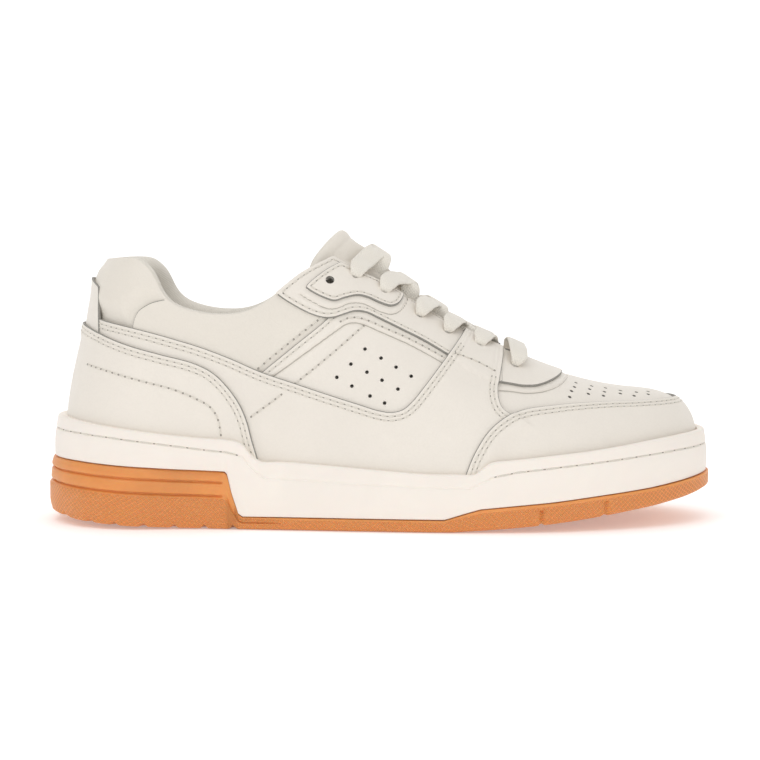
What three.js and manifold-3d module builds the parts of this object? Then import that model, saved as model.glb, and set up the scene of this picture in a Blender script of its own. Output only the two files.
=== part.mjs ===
// Court shoe for the right foot: leather panels over a closed last shape, stitched into a rubber cupsole.
// Millimetres, +X to the toe, +Z up, the lateral side faces -Y, and the outsole stands on z = 0.
import * as THREE from "three";
import { mergeVertices } from "three/addons/utils/BufferGeometryUtils.js";
import Module from "manifold-3d";

const wasm = await Module();
wasm.setup();

// ---------------------------------------------------------------- driving dimensions
const HEEL_END = -126; // where the outer leather surface ends at the heel, at foot level
const TOE_END = 129; // where it ends at the toe
const ROUND_FROM = { heel: -92, toe: 52, instep: 100 }; // where the end rounding begins
const SECTION_POWER = 2.3; // squareness of every cross-section of the last
const GAP = 0.3; // clearance between neighbouring pieces
const LEATHER = 1.2; // thickness of one overlay
const COLUMN_STEPS = { side: 16, toe: 10, heel: 10 }; // grid columns along each side and round each end
const GRID_ROWS = 9; // grid rows from the foot bed to the instep
const SPINE = { heel: -88, toe: 86 }; // ends of the line that the grid columns fan out from

// Depth of each layer, measured outwards from the surface of the base panels.
const LAYER = {
  base: [-1.6, -0.15],
  overlay: [0.15, 0.15 + LEATHER],
  top: [0.45 + LEATHER, 0.45 + 2 * LEATHER],
  eyestay: [-1.6, 0.15 + LEATHER],
  puff: [-2.9, -1.9],
};
const LINING = { depth: 3.2, thickness: 1.0, padding: 5.5 }; // depth where flat, and extra depth at the collar
const EYELET_RADIUS = 2.4;
const LACE = { width: 7.5, thickness: 1.2, bunched: 2.4 };

// ---------------------------------------------------------------- curves
// Natural cubic spline through points whose first value rises; flat beyond its ends.
function spline(points) {
  const n = points.length;
  const x = points.map((p) => p[0]);
  const y = points.map((p) => p[1]);
  const bend = new Array(n).fill(0);
  const work = new Array(n).fill(0);
  for (let i = 1; i < n - 1; i++) {
    const share = (x[i] - x[i - 1]) / (x[i + 1] - x[i - 1]);
    const p = share * bend[i - 1] + 2;
    const slope = (y[i + 1] - y[i]) / (x[i + 1] - x[i]) - (y[i] - y[i - 1]) / (x[i] - x[i - 1]);
    bend[i] = (share - 1) / p;
    work[i] = ((6 * slope) / (x[i + 1] - x[i - 1]) - share * work[i - 1]) / p;
  }
  bend[n - 1] = 0;
  for (let i = n - 2; i >= 0; i--) bend[i] = bend[i] * bend[i + 1] + work[i];
  return (at) => {
    const q = Math.min(Math.max(at, x[0]), x[n - 1]);
    let i = 0;
    while (i < n - 2 && q > x[i + 1]) i++;
    const h = x[i + 1] - x[i];
    const a = (x[i + 1] - q) / h;
    const b = (q - x[i]) / h;
    return a * y[i] + b * y[i + 1] + (((a ** 3 - a) * bend[i] + (b ** 3 - b) * bend[i + 1]) * h * h) / 6;
  };
}
// Straight lines between points, flat beyond the ends.
function polyline(points) {
  return (at) => {
    if (at <= points[0][0]) return points[0][1];
    for (let i = 1; i < points.length; i++) {
      const [x0, y0] = points[i - 1];
      const [x1, y1] = points[i];
      if (at <= x1) return y0 + ((y1 - y0) * (at - x0)) / (x1 - x0);
    }
    return points[points.length - 1][1];
  };
}
const smooth = (t) => {
  const c = Math.min(Math.max(t, 0), 1);
  return c * c * (3 - 2 * c);
};
const endRound = (x, from, end, power) => {
  const t = Math.min(Math.max((x - from) / (end - from), 0), 1);
  return Math.max(1 - t ** power, 0) ** (1 / power);
};

// ---------------------------------------------------------------- the last: x station, value
const lateralHalf = spline([
  [-129, 31], [-95, 33.5], [-60, 34.5], [-25, 38.5], [10, 43], [40, 45.5], [70, 45], [100, 42], [130, 38],
]);
const medialHalf = spline([
  [-129, 31], [-95, 33.5], [-60, 33], [-25, 33], [10, 37], [40, 42.5], [70, 45], [100, 43], [130, 38],
]);
const centreLine = spline([[-130, -0.5], [-40, -0.8], [20, -0.6], [70, 0.8], [130, 3.5]]);
const footBed = spline([[-130, 25], [-90, 24], [-50, 20], [0, 16], [45, 14], [85, 17], [130, 24]]);
const instep = spline([
  [-130, 160], [-100, 156], [-75, 143], [-52, 128], [-35, 119.5], [-20, 111], [-10, 104], [0, 97.5],
  [20, 84.5], [40, 73.5], [60, 64.5], [80, 57.5], [100, 53.5], [117, 52.5], [130, 52],
]);
const heelLean = spline([[20, 0], [42, 0.9], [60, 3.8], [79, 8.2], [94, 11.6], [106, 17], [120, 22]]);

// The cross-section of the last that the point (x, z) belongs to.
function sectionAt(x, z) {
  const station = x - heelLean(z) * (1 - smooth((x + 125) / 75));
  const ends =
    endRound(station, ROUND_FROM.heel, HEEL_END, 2.15) * endRound(station, ROUND_FROM.toe, TOE_END, 2.4);
  const low = footBed(station);
  const high = low + (instep(station) - low) * endRound(station, ROUND_FROM.instep, TOE_END, 3.2);
  return {
    station,
    middle: centreLine(station),
    low,
    high,
    lateral: lateralHalf(station) * ends,
    medial: medialHalf(station) * ends,
  };
}
// Negative inside the last, positive outside.
function outside(p) {
  const s = sectionAt(p.x, p.z);
  if (s.station <= HEEL_END || s.station >= TOE_END) return 10;
  const half = p.y < s.middle ? s.lateral : s.medial;
  const rise = Math.max((p.z - s.low) / Math.max(s.high - s.low, 1e-6), 0);
  return (Math.abs(p.y - s.middle) / half) ** SECTION_POWER + rise ** SECTION_POWER - 1;
}
function normalAt(p) {
  const h = 0.05;
  const slope = (dx, dy, dz) =>
    outside(new THREE.Vector3(p.x + dx, p.y + dy, p.z + dz)) -
    outside(new THREE.Vector3(p.x - dx, p.y - dy, p.z - dz));
  return new THREE.Vector3(slope(h, 0, 0), slope(0, h, 0), slope(0, 0, h)).normalize();
}
// Point of the last's upper side over (x, y), y measured from the centre line.
function topPoint(x, offset, side) {
  const s = sectionAt(x, 60);
  const half = side < 0 ? s.lateral : s.medial;
  const rise = Math.max(1 - (offset / half) ** SECTION_POWER, 0) ** (1 / SECTION_POWER);
  return new THREE.Vector3(x, s.middle + side * offset, s.low + (s.high - s.low) * rise);
}

// ---------------------------------------------------------------- grid columns round the shoe
// Each column is an origin on the spine and a level direction outwards.
const columns = [];
const spineDirection = (from, angle) => columns.push({ from, out: [Math.cos(angle), Math.sin(angle)] });
for (let i = 0; i < COLUMN_STEPS.side; i++) {
  const x = SPINE.heel + ((SPINE.toe - SPINE.heel) * i) / COLUMN_STEPS.side;
  spineDirection([x, centreLine(x)], -Math.PI / 2);
}
for (let i = 0; i < COLUMN_STEPS.toe; i++) {
  const angle = -Math.PI / 2 + (Math.PI * i) / COLUMN_STEPS.toe;
  spineDirection([SPINE.toe, centreLine(SPINE.toe)], angle);
}
for (let i = 0; i < COLUMN_STEPS.side; i++) {
  const x = SPINE.toe + ((SPINE.heel - SPINE.toe) * i) / COLUMN_STEPS.side;
  spineDirection([x, centreLine(x)], Math.PI / 2);
}
for (let i = 0; i < COLUMN_STEPS.heel; i++) {
  const angle = Math.PI / 2 + (Math.PI * i) / COLUMN_STEPS.heel;
  spineDirection([SPINE.heel, centreLine(SPINE.heel)], angle);
}
function castRay(column, elevation) {
  const [x, y] = column.from;
  const origin = new THREE.Vector3(x, y, footBed(x));
  const level = Math.cos(elevation);
  const direction = new THREE.Vector3(column.out[0] * level, column.out[1] * level, Math.sin(elevation));
  let near = 0;
  let far = 220;
  for (let i = 0; i < 45; i++) {
    const half = (near + far) / 2;
    if (outside(origin.clone().addScaledVector(direction, half)) < 0) near = half;
    else far = half;
  }
  return origin.addScaledVector(direction, near);
}
// Foot outline at the foot bed, with its outward level direction, for the sole's loops.
const outline = columns.map((c) => castRay(c, 0));
const outlineNormal = outline.map((p, i) => {
  const next = outline[(i + 1) % outline.length];
  const last = outline[(i + outline.length - 1) % outline.length];
  return new THREE.Vector3(next.y - last.y, last.x - next.x, 0).normalize();
});

// ---------------------------------------------------------------- solids
function solidFrom(positions, triangles) {
  const raw = new THREE.BufferGeometry();
  raw.setAttribute("position", new THREE.Float32BufferAttribute(positions, 3));
  raw.setIndex(triangles);
  const merged = mergeVertices(raw, 1e-3);
  const kept = [];
  for (let i = 0; i < merged.index.count; i += 3) {
    const [a, b, c] = [merged.index.getX(i), merged.index.getX(i + 1), merged.index.getX(i + 2)];
    if (a !== b && b !== c && c !== a) kept.push(a, b, c);
  }
  return new wasm.Manifold(
    new wasm.Mesh({
      numProp: 3,
      vertProperties: new Float32Array(merged.attributes.position.array),
      triVerts: new Uint32Array(kept),
    }),
  );
}
function geometryFrom(solid) {
  const mesh = solid.getMesh();
  const geometry = new THREE.BufferGeometry();
  geometry.setAttribute("position", new THREE.BufferAttribute(mesh.vertProperties, 3));
  geometry.setIndex(new THREE.BufferAttribute(mesh.triVerts, 1));
  geometry.computeVertexNormals();
  return geometry;
}
function largestBody(solid) {
  return solid.decompose().reduce((best, s) => (s.volume() > best.volume() ? s : best));
}
// Signed distance to a closed outline, positive inside.
function insideDistance(points, x, z) {
  let nearest = Infinity;
  let within = false;
  for (let i = 0, j = points.length - 1; i < points.length; j = i++) {
    const [x0, z0] = points[j];
    const [x1, z1] = points[i];
    const along = ((x - x0) * (x1 - x0) + (z - z0) * (z1 - z0)) / ((x1 - x0) ** 2 + (z1 - z0) ** 2);
    const t = Math.min(Math.max(along, 0), 1);
    nearest = Math.min(nearest, Math.hypot(x - x0 - t * (x1 - x0), z - z0 - t * (z1 - z0)));
    if (z1 > z !== z0 > z && x < x1 + ((x0 - x1) * (z - z1)) / (z0 - z1)) within = !within;
  }
  return within ? nearest : -nearest;
}

// A side-view outline extruded right across the shoe.
function prism(points) {
  const shape = new THREE.Shape(points.map(([x, z]) => new THREE.Vector2(x, z)));
  const bar = new THREE.ExtrudeGeometry(shape, { depth: 140, bevelEnabled: false });
  bar.rotateX(Math.PI / 2).translate(0, 70, 0);
  const corners = Array.from({ length: bar.attributes.position.count }, (_, i) => i);
  return solidFrom(Array.from(bar.attributes.position.array), corners);
}

// ---------------------------------------------------------------- sole levels, by x
const groundLevel = polyline([
  [-136, 4.5], [-120, 2.6], [-100, 1.2], [-80, 0.4], [-60, 0], [28, 0], [46, 1.2], [62, 2.5], [75, 4],
  [88, 5.7], [108, 8.5], [122, 11], [136, 14],
]);
const gumLevel = polyline([
  [-136, 26.2], [-120, 25.8], [-100, 24.6], [-82, 23.5], [-60.5, 22.6], [-58, 14], [-54, 4.6], [25, 4.8],
  [32, 7], [39, 9], [53, 10.3], [68, 11.6], [87, 13.7], [107, 15.7], [122, 17.8], [136, 20],
]);
const wallLevel = spline([
  [-131, 42.8], [-106, 40], [-86, 37.6], [-67, 35.8], [-57, 34.6], [-51, 29.5], [-46, 26.8], [-23, 25],
  [2, 23.6], [22, 22.6], [34, 23.2], [43, 26.6], [63, 29.4], [80, 31], [95, 32.8], [110, 34.8], [124, 36.2], [136, 37],
]);
const heelShare = (x) => smooth((-36 - x) / 8);
const heelFlare = (x) => smooth((-70 - x) / 45);
const wallInner = (x) => 1.7 + 1.5 * heelShare(x);
const seatLevel = (x) => Math.max(footBed(x) - GAP, gumLevel(x) + 1.5);
const RIM = 1.4; // how far out the gum rim's inner face lies
const INNER_RING = 0.55; // share of the way from the spine to the outline

// A solid of loops round the shoe: each column's profile runs from the spine, out, and back to the spine.
function soleSolid(profile) {
  const positions = [];
  const triangles = [];
  let count = 0;
  columns.forEach((_, i) => {
    const points = profile(i);
    count = points.length;
    points.forEach((p) => positions.push(p.x, p.y, p.z));
  });
  for (let i = 0; i < columns.length; i++) {
    const next = (i + 1) % columns.length;
    for (let j = 0; j < count - 1; j++) {
      const [a, b, c, d] = [i * count + j, next * count + j, next * count + j + 1, i * count + j + 1];
      triangles.push(a, d, c, a, c, b);
    }
  }
  return solidFrom(positions, triangles);
}
// Points of a column: at the spine, at the inner ring, or at a distance outside the outline.
function spineAt(i, level) {
  const [x, y] = columns[i].from;
  return new THREE.Vector3(x, y, level(x));
}
function ringAt(i, level) {
  const [x, y] = columns[i].from;
  const p = new THREE.Vector3(x, y, 0).lerp(outline[i], INNER_RING);
  p.z = level(p.x);
  return p;
}
function rimAt(i, distance, level) {
  const p = outline[i].clone().addScaledVector(outlineNormal[i], distance);
  p.z = level(p.x);
  return p;
}
const above = (level, height) => (x) => level(x) + height;

function outsole() {
  const grooves = [
    [0.84, 0.7, 0],
    [0.8, 0.72, 1.6],
    [0.74, 0.75, 0],
    [0.6, 0.82, 0],
    [0.56, 0.84, 1.6],
    [0.5, 0.88, 0],
  ];
  return soleSolid((i) => {
    const x = outline[i].x;
    const outer = 5 + 4 * heelFlare(x) + 0.8 * smooth((x - 90) / 40);
    const heel = heelShare(x);
    const side = (share) => (at) => groundLevel(at) + share * (gumLevel(at) - groundLevel(at));
    return [
      spineAt(i, above(groundLevel, 3.6)),
      ringAt(i, above(groundLevel, 3.6)),
      rimAt(i, RIM, above(groundLevel, 3.6)),
      rimAt(i, RIM, (at) => Math.max(gumLevel(at), groundLevel(at) + 4)),
      rimAt(i, outer - 1.6 * heel, (at) => Math.max(gumLevel(at), groundLevel(at) + 4)),
      ...grooves.map(([share, spread, depth]) =>
        rimAt(i, outer - heel * (depth + 2.2 * (1 - spread)), side(share)),
      ),
      rimAt(i, outer, side(0.3)),
      rimAt(i, outer - 2, groundLevel),
      ringAt(i, groundLevel),
      spineAt(i, groundLevel),
    ];
  });
}
function cupsole() {
  const floor = above(groundLevel, 5.9);
  const under = above(groundLevel, 3.9);
  const gumTop = (at) => Math.max(gumLevel(at), groundLevel(at) + 4) + GAP;
  return soleSolid((i) => {
    const x = outline[i].x;
    const inner = wallInner(x);
    return [
      spineAt(i, floor),
      ringAt(i, floor),
      rimAt(i, -1.5, floor),
      rimAt(i, -1.5, seatLevel),
      rimAt(i, inner, seatLevel),
      rimAt(i, inner, wallLevel),
      rimAt(i, inner + 1.4, wallLevel),
      rimAt(i, inner + 2.1, above(wallLevel, -1)),
      rimAt(i, 4.8 + 2 * heelFlare(x), gumTop),
      rimAt(i, RIM - GAP, gumTop),
      rimAt(i, RIM - GAP, under),
      ringAt(i, under),
      spineAt(i, under),
    ];
  });
}
// A flat layer inside the cup or the upper, with its rim at a distance from the outline.
function soleLayer(rim, bottom, top) {
  return soleSolid((i) => [
    spineAt(i, top),
    ringAt(i, top),
    rimAt(i, rim, top),
    rimAt(i, rim, bottom),
    ringAt(i, bottom),
    spineAt(i, bottom),
  ]);
}

// ---------------------------------------------------------------- panels of the upper
// Outlines in side view, x forward and z up, the same on the lateral and the medial side.
const COLLAR_LINE = [
  [-113, 96.5], [-111, 99], [-108.5, 104.5], [-103, 106.4], [-97, 106], [-93, 103.8], [-88.5, 97.5], [-85.5, 91.5],
  [-80, 87.6], [-72, 85], [-62, 84], [-55, 84.8], [-49.5, 87], [-44, 90.5], [-37.5, 95.6], [-32, 100], [-26, 103.5],
  [-22, 106],
];
const UPPER = [...COLLAR_LINE, [-18, 140], [150, 140], [150, -20], [-150, -20], [-150, 96]];
const EYESTAY = [
  [-42, 93], [-35.2, 87.7], [-27, 84.2], [-19, 82.6], [-9.9, 85], [-1.6, 82.6], [8, 77.9], [17, 73.5], [26.5, 67.7],
  [36, 63], [46, 60], [47, 140], [-60, 140],
];
const QUARTER = [
  [-150, 84], [-112, 82], [-100, 79.5], [-81, 74.5], [-71, 71.8], [-59, 67], [-46.4, 61.4], [-22, 53.6], [-8, 49.4],
  [2.7, 46.9], [8.2, 46.8], [13.3, 50.6], [24, 64.7], [32.5, 74.5], [36, 80], [38, 140], [50, 140], [48.7, 67.5],
  [46.5, 57], [46.6, 51], [49, 46.4], [55, 44], [55, -20], [-150, -20],
];
const HEEL_OVERLAY = [
  [-150, 79], [-112.5, 77.5], [-98, 71.7], [-86, 68.2], [-74, 65.3], [-66, 61.6], [-60, 55.7], [-54.7, 49], [-52, 43],
  [-50, 35], [-47, 26], [-46, -20], [-150, -20],
];
const TOE_OVERLAY = [
  [31, -20], [33.5, 23], [36, 29], [41.4, 37.9], [47.3, 42.8], [55.4, 46.5], [68, 47], [80, 47.9], [104, 48],
  [114, 48], [119, 48.6], [122, 51], [124, 70], [150, 70], [150, -20],
];
const THROAT_OVERLAY = [
  [40, 62], [46.7, 58.8], [55, 55.8], [61, 55.5], [68.5, 57.4], [73.5, 60.5], [76, 140], [36, 140],
];
const VAMP = [[30, -20], [33, 40], [44, 62], [46, 140], [150, 140], [150, -20]];
const SIDE_PANEL = [[-50, 57], [-46.4, 61.4], [-21, 82], [-8, 94], [48, 94], [48, 38], [0, 38], [-36, 50]];
const COLLAR_PANEL = [
  [-98, 72], [-97.6, 79], [-96, 84], [-92, 87.6], [-87, 89.6], [-82, 95], [-78, 140], [-10, 140], [-10, 93],
  [-21.5, 82], [-46.9, 61.4], [-50.5, 57], [-70, 62],
];
const HEEL_PANEL = [[-150, 66.5], [-90, 66.5], [-70, 140], [-150, 140]];
const EYELET_OVERLAY = [
  [-30, 94.4], [-25, 90.6], [-18.2, 88.3], [-12, 90.2], [-5.6, 89.4], [1.5, 86], [6.5, 87], [8.6, 92], [9, 140],
  [-21.5, 140], [-22.5, 103],
];
const HEEL_COUNTER = [[-150, 66], [-92, 65], [-72, 60], [-60, 50], [-55, -20], [-150, -20]];
const TOE_PUFF = [[92, -20], [96, 140], [150, 140], [150, -20]];
const LINING_SEAM = [[-150, 150], [-12, 150], [2, 80], [20, -20], [-150, -20]];

const THROAT_END = 55.5;
const throatHalf = (x) => (10.2 + 4.8 * smooth((10 - x) / 35)) * endRound(x, THROAT_END - 9, THROAT_END, 2);
const panelField = (points) => (p) => insideDistance(points, p.x, p.z);
const fields = {
  upper: (p) => Math.min(p.z - seatLevel(p.x) - 1.2, 125 - p.z),
  throat: (p) => Math.abs(p.y - centreLine(p.x)) - (p.x < THROAT_END && p.z > 55 ? throatHalf(p.x) : -20),
  backTab: (p) => Math.min(20 - 0.35 * (p.z - 80) - Math.abs(p.y), p.z - 70, 97 - p.z, -100 - p.x),
  lateral: (p) => centreLine(p.x) - p.y,
  medial: (p) => p.y - centreLine(p.x),
};
const within = (...list) => (p) => Math.min(...list.map((f) => f(p)));
const beyond = (f, gap = GAP) => (p) => -f(p) - gap;

// The grid: points of the last with their outward directions, one row of points for each elevation.
const grid = columns.map((column) =>
  Array.from({ length: GRID_ROWS + 1 }, (_, row) => {
    const p = castRay(column, (Math.PI / 2) * (row / GRID_ROWS));
    return { p, n: normalAt(p) };
  }),
);

// A shell between two depths, kept where the field is positive.
function shell(field, [innerDepth, outerDepth]) {
  const depthAt = (depth, p) => (typeof depth === "function" ? depth(p) : depth);
  const cells = grid.map((column) =>
    column.map(({ p, n }) => ({
      f: field(p),
      inner: p.clone().addScaledVector(n, depthAt(innerDepth, p)),
      outer: p.clone().addScaledVector(n, depthAt(outerDepth, p)),
    })),
  );
  const key = (v) => [v.outer.x, v.outer.y, v.outer.z].map((c) => Math.round(c * 200)).join();
  const corners = [];
  const cornerIndex = new Map();
  const indexOf = (v) => {
    const k = key(v);
    if (!cornerIndex.has(k)) {
      cornerIndex.set(k, corners.length);
      corners.push(v);
    }
    return cornerIndex.get(k);
  };
  const cut = (a, b) => {
    const t = Math.min(Math.max(a.f / (a.f - b.f), 0.02), 0.98);
    return { f: 0, inner: a.inner.clone().lerp(b.inner, t), outer: a.outer.clone().lerp(b.outer, t) };
  };
  const faces = [];
  const addPolygon = (polygon) => {
    const ids = polygon.map(indexOf).filter((id, i, all) => id !== all[(i + 1) % all.length]);
    for (let i = 1; i < ids.length - 1; i++) faces.push([ids[0], ids[i], ids[i + 1]]);
  };
  const clip = (triangle) => {
    const polygon = [];
    triangle.forEach((a, i) => {
      const b = triangle[(i + 1) % 3];
      if (a.f > 0) polygon.push(a);
      if (a.f > 0 !== b.f > 0) polygon.push(a.f > 0 ? cut(a, b) : cut(b, a));
    });
    if (polygon.length > 2) addPolygon(polygon);
  };
  for (let i = 0; i < columns.length; i++) {
    const next = (i + 1) % columns.length;
    for (let row = 0; row < GRID_ROWS; row++) {
      const [a, b, c, d] = [cells[i][row], cells[next][row], cells[next][row + 1], cells[i][row + 1]];
      clip([a, b, c]);
      clip([a, c, d]);
    }
  }
  return thicken(corners, faces.filter(([a, b, c]) => a !== b && b !== c && c !== a));
}
// The same, cut off along the collar line, or lower by a drop.
const collarCut = prism(UPPER);
const trimmed = (field, depths, drop = 0) => shell(field, depths).intersect(collarCut.translate(0, 0, -drop));
// Closes a patch into a solid: outer faces, inner faces and a wall round each free edge.
function thicken(corners, faces) {
  const positions = [];
  corners.forEach((v) => positions.push(v.outer.x, v.outer.y, v.outer.z, v.inner.x, v.inner.y, v.inner.z));
  const edges = new Map();
  const triangles = [];
  for (const [a, b, c] of faces) {
    triangles.push(2 * a, 2 * b, 2 * c, 2 * a + 1, 2 * c + 1, 2 * b + 1);
    for (const [from, to] of [[a, b], [b, c], [c, a]]) {
      if (edges.has(to + "," + from)) edges.delete(to + "," + from);
      else edges.set(from + "," + to, [from, to]);
    }
  }
  for (const [from, to] of edges.values()) {
    triangles.push(2 * from, 2 * from + 1, 2 * to + 1, 2 * from, 2 * to + 1, 2 * to);
  }
  return solidFrom(positions, triangles);
}

// ---------------------------------------------------------------- eyelets
// Row by row from the ankle to the toe: x, and distance from the centre line.
const EYELETS = [[-20.3, 24], [-10.8, 18.4], [0.8, 17.8], [15.2, 18.8], [26.4, 19.4], [38.9, 19], [53.5, 21.5]];
function punch(solid) {
  let result = solid;
  for (const [x, offset] of EYELETS) {
    for (const side of [-1, 1]) {
      const p = topPoint(x, offset, side);
      const hole = new THREE.CylinderGeometry(EYELET_RADIUS, EYELET_RADIUS, 12, 8);
      hole.applyQuaternion(new THREE.Quaternion().setFromUnitVectors(new THREE.Vector3(0, 1, 0), normalAt(p)));
      hole.translate(p.x, p.y, p.z);
      const tool = solidFrom(Array.from(hole.attributes.position.array), Array.from(hole.index.array));
      result = result.subtract(tool);
    }
  }
  return result;
}

// ---------------------------------------------------------------- collar padding and lining
const collarBump = (p) =>
  smooth((30 - insideDistance(UPPER, p.x, p.z)) / 22) * smooth((-24 - p.x) / 22);
const liningDepth = (p) => LINING.depth + LINING.padding * collarBump(p);
const liningField = within(
  (p) => Math.min(p.z - seatLevel(p.x) - 1.4, 125 - p.z),
  beyond((p) => Math.min(insideDistance(EYESTAY, p.x, p.z), p.z - 40), 1),
  beyond((p) => insideDistance(THROAT_OVERLAY, p.x, p.z), 1),
  (p) => fields.throat(p) - 2,
);

// ---------------------------------------------------------------- tongue
// How far the tongue's middle stands out of the instep line, by x.
const tongueRise = spline([
  [-12, 9.5], [-5, 7.6], [0, 6], [10, 3.8], [20, 2.6], [30, 1.2], [40, 0], [48, -2.5], [58, -4.2],
]);
const TONGUE_HALF = 25;
const TONGUE_ACROSS = 8; // cells across
const TONGUE_X = [57, 50, 42, 34, 26, 18, 10, 2, -5];
const TONGUE_TOP = [
  [[-9.5, 0, 112.4], [-10, 5, 110.8], [-13, 9.5, 105.5], [-17, 14, 97.5], [-19, 18.5, 90]],
  [[-14.3, 0, 117.6], [-16.5, 6.5, 115.6], [-21, 11.5, 110.5], [-26, 15, 104], [-28.5, 18, 96.5]],
];
const UNDER_EYESTAY = -4.6; // depth of the tongue below the eyestays
function tongueRows() {
  const rows = TONGUE_X.map((x) =>
    Array.from({ length: TONGUE_ACROSS + 1 }, (_, j) => {
      const across = (2 * j) / TONGUE_ACROSS - 1;
      const side = across < 0 ? -1 : 1;
      const p = topPoint(x, Math.abs(across) * TONGUE_HALF, side);
      const middle = 1 - smooth(Math.abs(across) * 2.6);
      const n = normalAt(p);
      return p.addScaledVector(n, UNDER_EYESTAY + (tongueRise(x) - UNDER_EYESTAY) * middle);
    }),
  );
  for (const edge of TONGUE_TOP) {
    rows.push(
      Array.from({ length: TONGUE_ACROSS + 1 }, (_, j) => {
        const across = j - TONGUE_ACROSS / 2;
        const [x, y, z] = edge[Math.abs(across)];
        return new THREE.Vector3(x, centreLine(x) + Math.sign(across) * y, z);
      }),
    );
  }
  return rows;
}
// A sheet under the tongue's surface between two depths.
function tongueSheet(outerDepth, innerDepth) {
  const rows = tongueRows();
  const corners = [];
  const faces = [];
  rows.forEach((row, i) =>
    row.forEach((p, j) => {
      const along = rows[Math.min(i + 1, rows.length - 1)][j].clone().sub(rows[Math.max(i - 1, 0)][j]);
      const across = row[Math.min(j + 1, row.length - 1)].clone().sub(row[Math.max(j - 1, 0)]);
      const inwards = along.cross(across).normalize();
      corners.push({
        outer: p.clone().addScaledVector(inwards, outerDepth),
        inner: p.clone().addScaledVector(inwards, innerDepth),
      });
      if (i && j) {
        const width = row.length;
        const [a, b, c, d] = [(i - 1) * width + j - 1, (i - 1) * width + j, i * width + j, i * width + j - 1];
        faces.push([a, b, c], [a, c, d]);
      }
    }),
  );
  return thicken(corners, faces);
}

// ---------------------------------------------------------------- lace
// One flat cord: from the bar over the front row, each half crosses to the next row's other side,
// goes down through the eyelet, and comes out again under the eyestay's inner edge.
const LACE_HEIGHT = { over: 3.9, through: -2.9, under: -3.4, cross: 1.6, layer: 0.6 };
function laceHalf(firstSide) {
  const route = [];
  const put = (x, offset, side, height, bunched) => {
    const p = topPoint(x, offset, side);
    const n = normalAt(p);
    route.push({ p: p.addScaledVector(n, height), n, bunched });
  };
  let side = firstSide;
  for (let row = EYELETS.length - 1; row >= 1; row--) {
    const [x, offset] = EYELETS[row];
    const front = row === EYELETS.length - 1;
    put(x + (front ? 0 : 2.5), offset - 7.5, side, LACE_HEIGHT.over + (front ? 0.6 : 0.4), false);
    put(x, offset - 1.5, side, LACE_HEIGHT.over, false);
    put(x, offset, side, LACE_HEIGHT.over - 1.4, true);
    put(x, offset, side, LACE_HEIGHT.through, true);
    if (row === 1) {
      put(x - 1.5, offset + 3.5, side, LACE_HEIGHT.under - 0.4, true);
      break;
    }
    const nextX = EYELETS[row - 1][0];
    const middle = (x + nextX) / 2;
    const lift = firstSide < 0 ? LACE_HEIGHT.layer : 0;
    const edge = throatHalf(Math.min(x, 46));
    const behind = front ? 7 : 0;
    put(x - 0.5, offset - 2.5, side, LACE_HEIGHT.under, true);
    put(x - behind - 1.5, edge + 2, side, LACE_HEIGHT.under, false);
    put(x - behind - 2.2, edge - 0.4, side, LACE_HEIGHT.under + 0.1, false);
    put(x - behind - 3, edge - 3.2, side, LACE_HEIGHT.under + 2.3, false);
    put(middle + 1.5, 4.5, side, tongueRise(middle) * 0.6 + LACE_HEIGHT.cross, false);
    put(middle, 0, side, tongueRise(middle) + LACE_HEIGHT.cross + lift, false);
    put(middle - 1.5, 4.5, -side, tongueRise(middle) * 0.6 + LACE_HEIGHT.cross + 0.8, false);
    side = -side;
  }
  return route;
}
function ribbon(route) {
  const positions = [];
  const triangles = [];
  route.forEach(({ p, n, bunched }, i) => {
    const along = route[Math.min(i + 1, route.length - 1)].p.clone().sub(route[Math.max(i - 1, 0)].p).normalize();
    const forward = new THREE.Vector3(1, 0, 0).addScaledVector(n, -n.x);
    const across = forward.addScaledVector(along, -forward.dot(along)).normalize();
    const flat = across.clone().cross(along);
    const half = (bunched ? LACE.bunched : LACE.width) / 2;
    const thick = (bunched ? LACE.bunched / 1.6 : LACE.thickness) / 2;
    for (const [a, b] of [[-1, -1], [1, -1], [1, 1], [-1, 1]]) {
      const corner = p.clone().addScaledVector(across, a * half).addScaledVector(flat, b * thick);
      positions.push(corner.x, corner.y, corner.z);
    }
    if (i) {
      for (let j = 0; j < 4; j++) {
        const k = (j + 1) % 4;
        const base = 4 * (i - 1);
        triangles.push(base + j, base + 4 + k, base + k, base + j, base + 4 + j, base + 4 + k);
      }
    }
  });
  const end = 4 * (route.length - 1);
  triangles.push(0, 2, 3, 0, 1, 2, end, end + 2, end + 1, end, end + 3, end + 2);
  return solidFrom(positions, triangles);
}
// The two halves are joined where they cross on the tongue and in the front bar.
function lace() {
  const [frontX] = EYELETS[EYELETS.length - 1];
  const height = LACE_HEIGHT.over + 0.4;
  const barPoint = (offset, side) => {
    const p = topPoint(frontX, offset, side);
    const n = normalAt(p);
    return { p: p.addScaledVector(n, height), n, bunched: false };
  };
  return ribbon([barPoint(2, 1), barPoint(6, -1), ...laceHalf(-1)]).add(
    ribbon([barPoint(2, -1), barPoint(6, 1), ...laceHalf(1)]),
  );
}

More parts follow.
